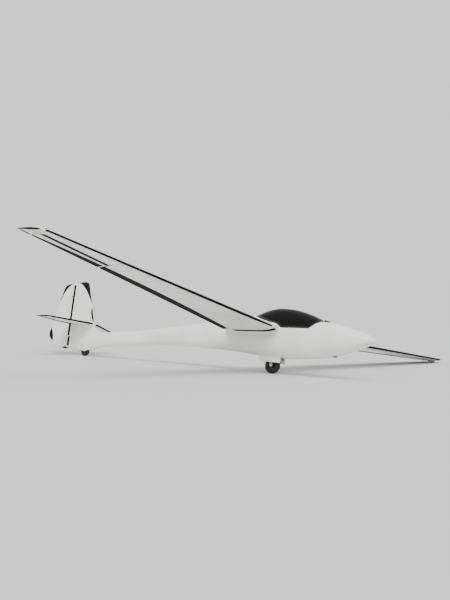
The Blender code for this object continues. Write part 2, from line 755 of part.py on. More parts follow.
for hand, word in ((1, "left"), (-1, "right")):
    spans = (ROOT_Y + SEAT_GAP, 1.2, 2.4, 3.6, 4.8, 6.0, TIP_JOINT_Y)
    wing = loft(f"wing_{word}", [wing_ring(y, hand) for y in spans], WHITE)

    inner, inner_radius = aileron_hinge(AILERON_IN_Y, hand)
    outer, outer_radius = aileron_hinge(AILERON_OUT_Y, hand)
    along = (outer - inner).normalized()
    bay = plan_prism(f"aileron_bay_{word}", aileron_outline(hand, 0.008), -0.3, 1.5)
    nose_room = rod(
        f"aileron_nose_room_{word}",
        inner - along * 0.008,
        outer + along * 0.008,
        inner_radius + MOVING_GAP,
        sides=32,
        end_radius=outer_radius + MOVING_GAP,
    )
    cut(wing, bay, nose_room)
    aileron_body = plan_prism(f"aileron_body_{word}", aileron_outline(hand, 0.0), -0.3, 1.5)
    aileron = loft(f"aileron_{word}", [wing_ring(y, hand) for y in (4.7, 6.0, TIP_JOINT_Y)], WHITE)
    keep_inside(aileron, aileron_body)
    nose = rod(
        f"aileron_nose_{word}", inner, outer, inner_radius, sides=32, end_radius=outer_radius
    )
    join(aileron, nose)
    aileron_pivot = pivot(f"aileron_pivot_{word}", (inner + outer) / 2)
    for place, sign in ((inner, 1), (outer, -1)):
        inside = place + along * sign * AILERON_PIN_IN
        outside = place - along * sign * 0.035
        bore_end = place + along * sign * (AILERON_PIN_IN + 0.003)
        tag = f"{word}_{'in' if sign > 0 else 'out'}"
        cut(aileron, rod(f"aileron_bore_{tag}", outside, bore_end, AILERON_PIN + PIN_GAP, sides=24))
        join(wing, rod(f"aileron_pin_{tag}", outside, inside, AILERON_PIN, sides=24))
    hang(aileron, aileron_pivot)

    low, high = AIRBRAKE_IN_Y, AIRBRAKE_OUT_Y
    slot_rings, groove_rings, blade_rings = [], [], []
    pocket = AIRBRAKE_BLADE + 0.0005
    for rings, y0, y1, half, deep, top in (
        (slot_rings, low + 0.014, high - 0.014, AIRBRAKE_THICK / 2 + MOVING_GAP, pocket, 0.1),
        (groove_rings, low - PIN_GAP, high + PIN_GAP, AIRBRAKE_THICK / 2 + PIN_GAP, pocket, 0.1),
        (blade_rings, low, high, AIRBRAKE_THICK / 2, AIRBRAKE_BLADE, -0.003),
    ):
        for y in (y0, y1):
            point = wing_point(y, AIRBRAKE_CHORD_SHARE, 1, hand)
            rings.append(
                [
                    point + Vector((dx, 0, dz))
                    for dx, dz in ((-half, -deep), (half, -deep), (half, top), (-half, top))
                ]
            )
    cut(wing, loft(f"airbrake_slot_{word}", slot_rings), loft(f"airbrake_groove_{word}", groove_rings))
    cap_outline, recess_outline = [], []
    for outline, margin in ((cap_outline, 0.0), (recess_outline, MOVING_GAP)):
        for y, order in ((low - 0.02 - margin, (-1, 1)), (high + 0.02 + margin, (1, -1))):
            station = -wing_point(y, AIRBRAKE_CHORD_SHARE, 1, hand).x
            for side in order:
                outline.append((station + side * (AIRBRAKE_CAP_WIDTH / 2 + margin), y * hand))
    ends = (low - 0.5, (low + high) / 2, high + 0.5)
    under_cap = loft(f"airbrake_under_cap_{word}", [wing_ring(y, hand, 1, 0.005) for y in ends])
    under_recess = loft(f"airbrake_under_recess_{word}", [wing_ring(y, hand, 1, 0.011) for y in ends])
    recess = plan_prism(f"airbrake_recess_{word}", recess_outline, 0.2, 0.8)
    cut(wing, cut(recess, under_recess))
    cap = loft(f"airbrake_cap_{word}", [wing_ring(y, hand) for y in ends])
    keep_inside(cap, plan_prism(f"airbrake_cap_outline_{word}", cap_outline, 0.2, 0.8))
    cut(cap, under_cap)
    airbrake = loft(f"airbrake_{word}", blade_rings, WHITE)
    join(airbrake, cap)
    slide_place = wing_point((low + high) / 2, AIRBRAKE_CHORD_SHARE, 1, hand)
    hang(airbrake, pivot(f"airbrake_pivot_{word}", slide_place))

    rows = [(TIP_JOINT_Y + SEAT_GAP, 1.0)] + list(TIP_CAP)
    tip = loft(f"wing_tip_{word}", [wing_ring(y, hand, share) for y, share in rows], WHITE)
    under = wing_point(SKID_Y, 0.45, -1, hand)
    station, z = -under.x, under.z
    outline = [(station - SKID_LENGTH / 2, z + 0.012)]
    for i in range(9):
        angle = math.pi * i / 8
        drop = SKID_HEIGHT * math.sin(angle) ** 0.7
        outline.append((station - SKID_LENGTH / 2 * math.cos(angle), z - drop))
    outline.append((station + SKID_LENGTH / 2, z + 0.012))
    y0 = SKID_Y * hand
    skid = side_plate(f"tip_skid_{word}", outline, y0 - SKID_WIDTH / 2, y0 + SKID_WIDTH / 2, NYLON)
    room = loft(
        f"skid_room_{word}",
        [wing_ring(y, hand, share, SEAT_GAP) for y, share in [(TIP_JOINT_Y - 0.1, 1.0)] + list(TIP_CAP)],
    )
    cut(skid, room)

    fairing = loft(
        f"root_fairing_{word}",
        [
            wing_section(
                wing_values(y)[0] - (chord_share - 1) * 0.45,
                wing_values(y)[1] * chord_share,
                y * hand,
                wing_values(y)[2],
                ROOT_THICKNESS * thick_share / chord_share,
                WING_CAMBER,
                ROOT_INCIDENCE,
            )
            for y, chord_share, thick_share in FAIRING
        ],
        WHITE,
    )
    cut(fairing, FUSELAGE_ROOM)

# Main wheel, its axle, legs and doors

MAIN = at(WHEEL[0], 0, WHEEL[1])
TAIL = at(TAIL_WHEEL[0], 0, TAIL_WHEEL[1])


def tyre_profile(ring, tube_radius, inner_radius, count=20):
    """A tyre's section: a round tread and a flat inside face that the rim fills."""
    start = math.acos((inner_radius - ring) / tube_radius)
    return [
        (ring + tube_radius * math.cos(angle), tube_radius * math.sin(angle))
        for angle in (-start + 2 * start * i / (count - 1) for i in range(count))
    ]


def rim_profile(outer, half, flange, bore, hub_half):
    """A rim's section: flanges at both edges, a thinner disc between and a hub round the axle."""
    return [
        (bore, -hub_half),
        (bore + 0.014, -hub_half),
        (bore + 0.018, -half * 0.45),
        (outer - 0.020, -half * 0.35),
        (outer - 0.012, -half),
        (outer + flange, -half),
        (outer + flange, -half + 0.004),
        (outer, -half + 0.004),
        (outer, half - 0.004),
        (outer + flange, half - 0.004),
        (outer + flange, half),
        (outer - 0.012, half),
        (outer - 0.020, half * 0.35),
        (bore + 0.018, half * 0.45),
        (bore + 0.014, hub_half),
        (bore, hub_half),
    ]


wheel_pivot = pivot("main_wheel_pivot", MAIN)
tyre = turned("main_tyre", tyre_profile(WHEEL_RING, WHEEL_TUBE, RIM_RADIUS), *WHEEL, RUBBER, 64)
hang(tyre, wheel_pivot)
rim_half = WHEEL_TUBE * math.sin(math.acos((RIM_RADIUS - WHEEL_RING) / WHEEL_TUBE))
rim = turned(
    "main_rim",
    rim_profile(RIM_RADIUS - SEAT_GAP, rim_half - SEAT_GAP, 0.0, AXLE_RADIUS + PIN_GAP, HUB_HALF),
    *WHEEL,
    BLACK_ENAMEL,
    48,
)
hang(rim, wheel_pivot)
AXLE_ENDS = [at(WHEEL[0], y, WHEEL[1]) for y in (-AXLE_HALF, AXLE_HALF)]
rod("main_axle", *AXLE_ENDS, AXLE_RADIUS, STEEL, 32)
LEG_BORE = rod(
    "leg_bore", at(WHEEL[0], -0.2, WHEEL[1]), at(WHEEL[0], 0.2, WHEEL[1]), AXLE_RADIUS + SEAT_GAP, sides=32
)
LEG_OUTLINE = [(2.000, WELL_TOP - SEAT_GAP), (2.040, WHEEL[1] + 0.05)]
LEG_OUTLINE += [
    (WHEEL[0] - LEG_EYE * math.cos(math.pi * i / 10), WHEEL[1] - LEG_EYE * math.sin(math.pi * i / 10))
    for i in range(11)
]
LEG_OUTLINE += [(2.105, WHEEL[1] + 0.05), (2.200, WELL_TOP - SEAT_GAP)]
DOOR_OUTLINE = [
    (DOOR[0], -0.200),
    (DOOR[0], -0.388),
    (DOOR[0] + 0.014, -0.402),
    (DOOR[1] - 0.016, -0.357),
    (DOOR[1], -0.343),
    (DOOR[1], -0.200),
]
for hand, word in ((1, "left"), (-1, "right")):
    inside, outside = sorted((LEG_INSIDE * hand, LEG_OUTSIDE * hand))
    cut(side_plate(f"main_leg_{word}", LEG_OUTLINE, inside, outside, STEEL), LEG_BORE)
    edge = (WELL_HALF_WIDTH - SEAT_GAP) * hand
    inside, outside = sorted((edge - DOOR_THICK * hand, edge))
    side_plate(f"wheel_door_{word}", DOOR_OUTLINE, inside, outside, WHITE)

# Tail wheel and its fork

tail_wheel_pivot = pivot("tail_wheel_pivot", TAIL)
tail_tyre = turned("tail_tyre", tyre_profile(TAIL_RING, TAIL_TUBE, TAIL_RIM, 14), *TAIL_WHEEL, RUBBER, 48)
hang(tail_tyre, tail_wheel_pivot)
tail_rim_half = TAIL_TUBE * math.sin(math.acos((TAIL_RIM - TAIL_RING) / TAIL_TUBE))
tail_rim = turned(
    "tail_rim",
    rim_profile(
        TAIL_RIM - SEAT_GAP, tail_rim_half - SEAT_GAP, 0.0, TAIL_AXLE_RADIUS + PIN_GAP, TAIL_HUB_HALF
    ),
    *TAIL_WHEEL,
    BLACK_ENAMEL,
    32,
)
hang(tail_rim, tail_wheel_pivot)
rod(
    "tail_axle",
    at(TAIL_WHEEL[0], -TAIL_LEG_OUTSIDE, TAIL_WHEEL[1]),
    at(TAIL_WHEEL[0], TAIL_LEG_OUTSIDE, TAIL_WHEEL[1]),
    TAIL_AXLE_RADIUS,
    STEEL,
    24,
)
TAIL_LEG_BORE = rod(
    "tail_leg_bore",
    at(TAIL_WHEEL[0], -0.1, TAIL_WHEEL[1]),
    at(TAIL_WHEEL[0], 0.1, TAIL_WHEEL[1]),
    TAIL_AXLE_RADIUS + SEAT_GAP,
    sides=24,
)
TAIL_LEG = [(6.060, TAIL_SLOT_TOP - SEAT_GAP), (6.085, TAIL_WHEEL[1])]
for i in range(1, 9):
    angle = math.pi * i / 8
    ds, dz = TAIL_LEG_EYE * math.cos(angle), TAIL_LEG_EYE * math.sin(angle)
    TAIL_LEG.append((TAIL_WHEEL[0] - ds, TAIL_WHEEL[1] - dz))
TAIL_LEG += [(6.170, TAIL_SLOT_TOP - SEAT_GAP)]
for hand, word in ((1, "left"), (-1, "right")):
    inside, outside = sorted((TAIL_LEG_INSIDE * hand, TAIL_LEG_OUTSIDE * hand))
    cut(side_plate(f"tail_leg_{word}", TAIL_LEG, inside, outside, STEEL), TAIL_LEG_BORE)

# Canopy: a frame round the edge and the glass, on a hinge at the front

canopy_pivot = pivot("canopy_pivot", at(CANOPY_HINGE[0], 0, CANOPY_HINGE[1]))
OUTER = fuselage_loft("canopy_outer", 0.85, 2.75)
FRAME_BAND = above_canopy_edge("canopy_frame_band", CANOPY_GAP)
ABOVE_FRAME = above_canopy_edge("canopy_above_frame", CANOPY_GAP + CANOPY_FRAME_WIDTH)
ABOVE_FRAME_SEAT = above_canopy_edge("canopy_glass_band", CANOPY_GAP + CANOPY_FRAME_WIDTH + SEAT_GAP)
FRAME_INSIDE = fuselage_loft("canopy_frame_inside", 0.70, 2.85, CANOPY_FRAME_THICK)
GLASS_INSIDE = fuselage_loft("canopy_glass_inside", 0.70, 2.85, CANOPY_GLASS_THICK)

canopy_frame = fuselage_loft("canopy_frame", 0.80, 2.75, finish=BLACK_FRAME)
keep_inside(canopy_frame, FRAME_BAND)
cut(canopy_frame, ABOVE_FRAME, FRAME_INSIDE)
canopy_glass = fuselage_loft("canopy_glass", 0.80, 2.75, finish=SMOKED_GLASS)
keep_inside(canopy_glass, ABOVE_FRAME_SEAT)
cut(canopy_glass, GLASS_INSIDE)

HINGE_PIN_RADIUS, KNUCKLE_RADIUS = 0.004, 0.009
hinge_axis = [at(CANOPY_HINGE[0], y, CANOPY_HINGE[1]) for y in (-0.082, 0.082)]
canopy_hinge = rod("canopy_hinge", *hinge_axis, HINGE_PIN_RADIUS, BLACK_ENAMEL, 24)
for y in (-0.080, 0.0, 0.080):
    post = box(
        f"canopy_hinge_post_{round(y * 1000)}",
        (CANOPY_HINGE[0] - 0.010, y - 0.006, CANOPY_HINGE[1] - 0.060),
        (CANOPY_HINGE[0] + 0.007, y + 0.006, CANOPY_HINGE[1] + 0.007),
    )
    join(canopy_hinge, post)
cut(canopy_hinge, fuselage_loft("nose_room", 0.5, 1.3, -SEAT_GAP))
for y in (-0.040, 0.040):
    tag = "left" if y > 0 else "right"
    ends = [at(CANOPY_HINGE[0], y + dy, CANOPY_HINGE[1]) for dy in (-0.018, 0.018)]
    arm = box(
        f"canopy_arm_{tag}",
        (CANOPY_HINGE[0], y - 0.016, CANOPY_HINGE[1] - 0.0085),
        (CANOPY_HINGE[0] + 0.045, y + 0.016, CANOPY_HINGE[1] + 0.0035),
    )
    foot = box(
        f"canopy_arm_foot_{tag}",
        (CANOPY_HINGE[0] + 0.034, y - 0.016, CANOPY_HINGE[1] - 0.012),
        (CANOPY_HINGE[0] + 0.052, y + 0.016, CANOPY_HINGE[1] + 0.001),
    )
    join(canopy_frame, arm, foot, rod(f"canopy_knuckle_{tag}", *ends, KNUCKLE_RADIUS, sides=24))
cut(canopy_frame, rod("canopy_bore", *hinge_axis, HINGE_PIN_RADIUS + PIN_GAP, sides=24))
hang(canopy_frame, canopy_pivot)
hang(canopy_glass, canopy_pivot)

# Cockpit fittings

seat_back = side_plate(
    "seat_back",
    [
        (seat_plane(-0.25) - SEAT_GAP, -0.25),
        (seat_plane(0.17) - SEAT_GAP, 0.17),
        (seat_plane(0.17) - 0.024, 0.178),
        (seat_plane(-0.09) - 0.040, -0.09),
        (seat_plane(-0.25) - 0.030, -0.24),
    ],
    -0.22,
    0.22,
    COCKPIT_GREY,
)
keep_inside(seat_back, INTERIOR)
SEAT_TOP = (
    (1.080, -0.110),
    (1.115, -0.118),
    (1.220, -0.175),
    (1.350, -0.215),
    (1.500, -0.232),
    (1.640, -0.240),
)
seat_pan = side_plate(
    "seat_pan",
    [(1.060, -0.330)]
    + list(SEAT_TOP)
    + [
        (seat_plane(-0.2503) - 0.0303, -0.2503),
        (seat_plane(-0.2503) - SEAT_GAP, -0.2503),
        (seat_plane(-0.36) - SEAT_GAP, -0.36),
    ],
    -0.3,
    0.3,
    COCKPIT_GREY,
)
keep_inside(seat_pan, INTERIOR)
headrest = side_plate(
    "headrest",
    [
        (seat_plane(0.1803) - SEAT_GAP, 0.1803),
        (seat_plane(0.282) - SEAT_GAP, 0.282),
        (seat_plane(0.282) - 0.040, 0.288),
        (seat_plane(0.1803) - 0.050, 0.190),
    ],
    -0.09,
    0.09,
    LEATHER,
)
PEDESTAL_OUTLINE = [(0.96, -0.34), (0.96, 0.12), (1.05, 0.14), (1.045, -0.34)]
pedestal = side_plate("instrument_pedestal", PEDESTAL_OUTLINE, -0.05, 0.05)
instrument_panel = side_plate(
    "instrument_panel",
    [(0.965, 0.040), (0.950, 0.212), (0.965, 0.244), (1.045, 0.244), (1.050, 0.040)],
    -0.155,
    0.155,
    PANEL_BLACK,
)
join(instrument_panel, pedestal)
keep_inside(instrument_panel, INTERIOR)
DIALS = (
    (-0.095, 0.192, 0.040),
    (0.0, 0.192, 0.040),
    (0.095, 0.192, 0.040),
    (-0.095, 0.100, 0.029),
    (0.0, 0.100, 0.029),
    (0.095, 0.100, 0.029),
)
for y, z, radius in DIALS:
    name = f"bezel_{round(y * 1000)}_{round(z * 1000)}"
    join(instrument_panel, rod(name, at(1.02, y, z), at(1.055, y, z), radius, sides=24))

control_stick = rod("control_stick", at(1.17, 0, -0.22), at(1.175, 0, 0.01), 0.010, PANEL_BLACK, 16)
boot_ends = at(1.17, 0, -0.23), at(1.171, 0, -0.10)
join(control_stick, rod("stick_boot", *boot_ends, 0.052, sides=24, end_radius=0.014))
join(control_stick, rod("stick_grip", at(1.174, 0, -0.06), at(1.176, 0, 0.03), 0.016, sides=16))
under_seat_top = offset_line(SEAT_TOP, SEAT_GAP) + [(1.6, -0.6), (1.08, -0.6)]
cut(control_stick, side_plate("under_seat_top", under_seat_top, -0.1, 0.1))

rudder_pedals = rod("rudder_pedals", at(0.56, -0.3, -0.07), at(0.56, 0.3, -0.07), 0.009, STEEL, 16)
for y in (-0.085, 0.085):
    plate = side_plate(
        f"pedal_plate_{round(y * 1000)}",
        [(0.548, -0.095), (0.515, 0.030), (0.523, 0.032), (0.572, -0.088)],
        y - 0.045,
        y + 0.045,
    )
    join(rudder_pedals, plate)
keep_inside(rudder_pedals, INTERIOR)

airbrake_lever = box("airbrake_lever", (1.17, 0.20, -0.030), (1.21, 0.32, -0.015), STEEL)
grip_ends = at(1.12, 0.215, -0.0225), at(1.25, 0.215, -0.0225)
join(airbrake_lever, rod("airbrake_lever_grip", *grip_ends, 0.014, sides=16))
keep_inside(airbrake_lever, INTERIOR)

# Tow release under the nose

tow_release = box("tow_release", (0.78, -0.020, -0.302), (0.86, 0.020, -0.25), STEEL)
cut(tow_release, fuselage_loft("belly_room", 0.5, 1.2, -SEAT_GAP))

# Parked attitude


def tyre_height(turn, centre, ring, tube_radius):
    lean = (turn @ Vector((0, 1, 0))).z
    return (turn @ centre).z - ring * math.sqrt(1 - lean**2) - tube_radius


def parked_turn():
    """The turn of the level aircraft that puts both tyres and the left skid at one height."""
    skid = bpy.data.objects["tip_skid_left"].data.vertices
    pitch, roll = 0.0, 0.0
    for _ in range(40):
        turn = Matrix.Rotation(-roll, 3, "X") @ Matrix.Rotation(-pitch, 3, "Y")
        main = tyre_height(turn, MAIN, WHEEL_RING, WHEEL_TUBE)
        tail = tyre_height(turn, TAIL, TAIL_RING, TAIL_TUBE)
        tip = min((turn @ vertex.co).z for vertex in skid)
        pitch += (tail - main) / (TAIL_WHEEL[0] - WHEEL[0])
        roll += (tip - main) / SKID_Y
    return turn, main


def park():
    turn, floor = parked_turn()
    PARKED.matrix_world = turn.to_4x4()
    bpy.context.view_layer.update()
    graph = bpy.context.evaluated_depsgraph_get()
    corners = []
    for piece in PARTS.objects:
        if piece.type == "MESH":
            ready = piece.evaluated_get(graph)
            mesh = ready.to_mesh()
            corners += [ready.matrix_world @ vertex.co for vertex in mesh.vertices]
            ready.to_mesh_clear()
    middle = [(min(c[k] for c in corners) + max(c[k] for c in corners)) / 2 for k in range(2)]
    PARKED.matrix_world = Matrix.Translation((-middle[0], -middle[1], -floor)) @ turn.to_4x4()
    bpy.context.view_layer.update()


park()
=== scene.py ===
"""Dresses the parked sailplane: finishes on its solids, the small pieces on them, and the stage."""

import json
from math import acos, copysign, cos, pi, radians, sin, tan

import bmesh
import bpy
from bpy.props import FloatProperty, IntProperty, PointerProperty, StringProperty
from bpy.types import Operator, Panel, PropertyGroup
from mathutils import Matrix, Vector
from mathutils.bvhtree import BVHTree


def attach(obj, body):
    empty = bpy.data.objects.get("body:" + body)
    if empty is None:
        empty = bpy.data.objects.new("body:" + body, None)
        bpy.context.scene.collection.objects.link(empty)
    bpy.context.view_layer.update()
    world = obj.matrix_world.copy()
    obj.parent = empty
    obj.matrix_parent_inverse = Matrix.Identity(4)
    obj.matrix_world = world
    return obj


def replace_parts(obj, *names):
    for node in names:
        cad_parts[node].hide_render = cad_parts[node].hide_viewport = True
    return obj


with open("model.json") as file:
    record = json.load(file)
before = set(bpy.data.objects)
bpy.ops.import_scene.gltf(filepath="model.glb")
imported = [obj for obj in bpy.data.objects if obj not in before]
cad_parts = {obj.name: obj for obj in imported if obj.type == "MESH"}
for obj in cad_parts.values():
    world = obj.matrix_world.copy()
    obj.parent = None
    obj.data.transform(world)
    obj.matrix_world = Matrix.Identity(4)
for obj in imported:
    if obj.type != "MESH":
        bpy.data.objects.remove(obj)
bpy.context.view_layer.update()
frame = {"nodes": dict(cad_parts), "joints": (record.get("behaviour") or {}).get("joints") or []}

bl_info = {
    "name": "Parked sailplane",
    "version": (1, 0, 0),
    "blender": (4, 5, 0),
    "location": "View3D > Sidebar > Sailplane",
    "description": "Finishes, cockpit fittings, seals and wheels of a parked sailplane",
    "category": "Object",
}

# Places, given on the level aircraft: station aft of the nose, distance to the left, height

JOINTS = {joint["name"]: joint for joint in frame["joints"]}
CANOPY_HINGE = (1.005, 0.350)
WHEEL, TAIL_WHEEL = (2.066, -0.433), (6.100, -0.129)
SEAT_BACK = ((1.690, -0.330), (1.960, 0.290))
SEAT_TOP = ((1.220, -0.175), (1.350, -0.215), (1.500, -0.232), (1.640, -0.240))
RUDDER_AXIS = ((6.535, -0.045), (6.436, 1.175))
# The wing's ends, as distance out, leading edge station and chord, then its height at the root and its rise
WING = ((0.3, 1.824, 1.057), (7.2, 2.096, 0.470))
WING_HEIGHT, DIHEDRAL = 0.190, radians(3.9)
# Distances out of the joints at the wing's root and at its tip, and of the skids
ROOT_JOINT, TIP_JOINT, SKID_OUT = 0.337, 7.260, 7.30
# The aileron's ends, and how far they run inboard for each metre aft
AILERON_IN, AILERON_OUT, AILERON_SLANT = 5.13, 7.20, 0.45
HANDS, SIDES = (1, -1), ((1, "left"), (-1, "right"))


def level_frame():
    """The matrix from the level aircraft to the floor it is parked on, read from its joints."""
    left = Vector(JOINTS["canopy_hinge"]["axis"]).normalized()
    up = Vector(JOINTS["airbrake_left_slide"]["axis"]).normalized()
    turn = Matrix((left.cross(up), left, up)).transposed()
    corner = Vector((-CANOPY_HINGE[0], 0, CANOPY_HINGE[1]))
    return Matrix.Translation(Vector(JOINTS["canopy_hinge"]["pos_m"]) - turn @ corner) @ turn.to_4x4()


LEVEL = level_frame()
TURN = LEVEL.to_3x3()


def at(station, left, height):
    """A place on the parked aircraft."""
    return LEVEL @ Vector((-station, left, height))


def way(aft, left, up):
    """A direction on the parked aircraft."""
    return (TURN @ Vector((-aft, left, up))).normalized()


AFT, LEFT, UP = way(1, 0, 0), way(0, 1, 0), way(0, 0, 1)


def mix(a, b, share):
    """A number or a place between two others."""
    return a.lerp(b, share) if isinstance(a, Vector) else a + (b - a) * share


def even(start, end, count):
    return [mix(start, end, i / (count - 1)) for i in range(count)]


def station_on(line, height):
    """The station at a height of a line between two points, such as the seat back or the rudder's axis."""
    (low, low_height), (high, high_height) = line
    return mix(low, high, (height - low_height) / (high_height - low_height))


def seat_back(height, ahead, left=0.0):
    """A place ahead of the seat back's plane."""
    return at(station_on(SEAT_BACK, height) - ahead, left, height)


def wing_edges(out):
    """Leading edge station, trailing edge station and height of the wing at a distance out."""
    (root, root_front, root_chord), (tip, tip_front, tip_chord) = WING
    share = (out - root) / (tip - root)
    front = mix(root_front, tip_front, share)
    height = WING_HEIGHT + (out - root) * tan(DIHEDRAL)
    return front, front + mix(root_chord, tip_chord, share), height


def aileron_line(out):
    """The station of the aileron's axis at a distance out."""
    return wing_edges(out)[1] - mix(0.235, 0.205, (out - AILERON_IN) / (AILERON_OUT - AILERON_IN))


# What a user may change


def colour(name, description, default):
    return StringProperty(name=name, description=f"Colour of the {description}, as sRGB hex", default=default)


def size(name, description, default):
    return FloatProperty(name=name, description=description, default=default, unit="LENGTH")


class SailplaneColours(PropertyGroup):
    """Colours of the main finishes"""

    gelcoat: colour("Gelcoat", "white skin", "#F5F5F3")
    # Trim is the black enamel on the fin, the rudder, the wing tips and the tailplane's tips; on the first
    # three it is painted shade
    trim: colour("Trim", "painted corners", "#060607")
    acrylic: colour("Canopy tint", "smoked acrylic", "#030304")
    steel: colour("Enamel", "painted steel", "#85898D")
    cockpit: colour("Lacquer", "ground inside the cockpit", "#85888B")
    cloth: colour("Cloth", "seat cushions", "#303745")


class SailplaneSizes(PropertyGroup):
    """Sizes of the pieces that are laid on the solids"""

    seal_width: size("Seal width", "Width of the tape ahead of a hinge gap", 0.050)
    tape_thick: size("Film thickness", "Thickness of tapes and films", 0.0006)
    front_film: size("Front film", "Depth of the black film on a wing's leading edge", 0.026)
    rear_film: size("Rear film", "Depth of the film under the trailing edge, at the tip", 0.045)
    # The swell is painted shade: the black film under the trailing edge is laid deeper towards half span
    rear_shade_swell: size("Swell", "How much deeper that film is at half span", 0.185)
    groove_depth: size("Groove depth", "Depth of the main tyre's grooves", 0.004)
    webbing_width: size("Webbing width", "Width of the harness straps", 0.044)
    frame_screws: IntProperty(
        name="Canopy screws",
        description="Screws along each side of the canopy frame",
        default=13,
        min=4,
        max=30,
    )


# Finishes


def channels(code):
    """The red, green and blue of an sRGB hex colour, from 0 to 255."""
    return [int(code.lstrip("#")[i : i + 2], 16) for i in (0, 2, 4)]


def linear(code):
    """An sRGB hex colour as linear red, green, blue and alpha."""
    parts = [part / 255 for part in channels(code)]
    return (*[p / 12.92 if p <= 0.04045 else ((p + 0.055) / 1.055) ** 2.4 for p in parts], 1.0)


def shade(code, share=0.965):
    """A darker or lighter neighbour of an sRGB hex colour."""
    return "#" + "".join(f"{min(255, round(part * share)):02X}" for part in channels(code))


def node(tree, kind, inputs=None, out=0, **settings):
    """Adds a node with its settings and links, and returns one output; an input is a value or a socket."""
    made = tree.nodes.new(kind if "Node" in kind else "ShaderNode" + kind)
    for name, value in settings.items():
        setattr(made, name, value)
    for name, value in (inputs or {}).items():
        if isinstance(value, bpy.types.NodeSocket):
            tree.links.new(value, made.inputs[name])
        else:
            made.inputs[name].default_value = value
    return made.outputs[out] if made.outputs else None


def finish(name, tones, grain, worn, rough, relief, texture="TexNoise", settings=None, **sockets):
    """
    A finish drawn from real sizes, in millimetres.

    tones are the two colours that the grain moves between. grain is its size, the range of the texture
    that makes the change, and other inputs of the texture. worn is the colour of dust or rubbing, its
    size, range and share. rough is the lowest and highest roughness and the size of its patches.
    relief is the depth and strength of the bump that the grain makes.
    """
    made = bpy.data.materials.new(name)
    made.use_nodes = True
    tree = made.node_tree
    shader = tree.nodes["Principled BSDF"]
    for key, value in sockets.items():
        shader.inputs[key.replace("_", " ")].default_value = value
    places = node(tree, "TexCoord", out="Object")

    width, low, high, extra = grain
    inputs = {"Vector": places, "Scale": 1000.0 / width, **extra}
    out = "Distance" if texture == "TexVoronoi" else "Fac"
    height = node(tree, texture, inputs, out, **(settings or {}))
    share = node(tree, "MapRange", {"Value": height, "From Min": low, "From Max": high})
    # In a colour mix, input 0 is the factor, 6 and 7 are the colours, and output 2 is the result
    inputs = {0: share, 6: linear(tones[0]), 7: linear(tones[1])}
    ground = node(tree, "Mix", inputs, 2, data_type="RGBA")

    code, width, low, high, most = worn
    inputs = {"Vector": places, "Scale": 1000.0 / width, "Detail": 6.0, "Roughness": 0.68}
    spots = node(tree, "TexNoise", inputs)
    inputs = {"Value": spots, "From Min": low, "From Max": high, "To Max": most}
    share = node(tree, "MapRange", inputs)
    ground = node(tree, "Mix", {0: share, 6: ground, 7: linear(code)}, 2, data_type="RGBA")

    lowest, highest, width = rough
    patches = node(tree, "TexNoise", {"Vector": places, "Scale": 1000.0 / width, "Detail": 3.0})
    inputs = {"Value": patches, "From Min": 0.3, "From Max": 0.7, "To Min": lowest, "To Max": highest}
    roughness = node(tree, "MapRange", inputs)
    inputs = {"Height": height, "Distance": relief[0] / 1000, "Strength": relief[1]}
    bump = node(tree, "Bump", inputs)
    for key, socket in (("Base Color", ground), ("Roughness", roughness), ("Normal", bump)):
        tree.links.new(socket, shader.inputs[key])
    return made


def paint_over(made, mask, code, roughness):
    """Lays a second colour on a finish where a mask is 1."""
    tree = made.node_tree
    shader = tree.nodes["Principled BSDF"]
    for name, value, kind, low, high, out in (
        ("Base Color", linear(code), "RGBA", 6, 7, 2),
        ("Roughness", roughness, "FLOAT", 2, 3, 0),
    ):
        inputs = {0: mask, low: shader.inputs[name].links[0].from_socket, high: value}
        tree.links.new(node(tree, "Mix", inputs, out, data_type=kind), shader.inputs[name])


# A scale, in metres, that leaves a direction out of a pattern
FAR = 1000.0


def placed(tree, start, turn, scale):
    """Places in turned axes from a start, divided by a scale."""
    places = node(tree, "TexCoord", out="Object")
    inputs = {"Vector": places, "Location": start, "Rotation": turn.to_euler(), "Scale": scale}
    return node(tree, "Mapping", inputs, vector_type="TEXTURE")


def oval(tree, centre, halves, lean):
    """Place in an oval seen from the side, of length 1 on its rim; it leans aft going up."""
    turn = TURN @ Matrix.Rotation(-radians(lean), 3, "Y")
    return placed(tree, at(centre[0], 0, centre[1]), turn, (halves[0], FAR, halves[1]))


def beyond_quarter(tree, place, second):
    """1 beyond a quarter of an oval: where X and a second coordinate are both above 0."""
    both = [node(tree, "SeparateXYZ", {0: place}, axis) for axis in ("X", second)]
    least = node(tree, "Math", {0: both[0], 1: both[1]}, operation="MINIMUM")
    within = node(tree, "MapRange", {"Value": least, "From Max": 0.01})
    length = node(tree, "VectorMath", {0: place}, "Value", operation="LENGTH")
    beyond = node(tree, "MapRange", {"Value": length, "From Min": 0.995, "From Max": 1.005})
    return node(tree, "Math", {0: beyond, 1: within}, operation="MULTIPLY")


def corner_shade_mask(tree, centre, halves, lean):
    """The black corner at the top of the fin or the rudder, enamel laid as painted shade; a negative half
    width is the aft side.
    """
    return beyond_quarter(tree, oval(tree, centre, halves, lean), "Z")


def tip_mask(tree, corner, halves):
    """The painted rim of a tip, in plan; the corner is a station and a distance out."""
    place = placed(tree, at(0, 0, 0), TURN, (1.0, 1.0, FAR))
    # Without its sign, the level X is the station, and the left side lies over the right
    place = node(tree, "VectorMath", {0: place}, operation="ABSOLUTE")
    place = node(tree, "VectorMath", {0: place, 1: (*corner, 0.0)}, operation="SUBTRACT")
    inputs = {0: place, 1: (-halves[0], halves[1], 1.0)}
    return beyond_quarter(tree, node(tree, "VectorMath", inputs, operation="DIVIDE"), "Y")


def lens_shade_mask(tree, centre, halves, lean):
    """1 inside an oval: the thin black patch on an edge of the fin or the rudder, enamel laid as painted
    shade.
    """
    inputs = {0: oval(tree, centre, halves, lean)}
    length = node(tree, "VectorMath", inputs, "Value", operation="LENGTH")
    return node(tree, "MapRange", {"Value": length, "From Min": 1.03, "From Max": 0.97})


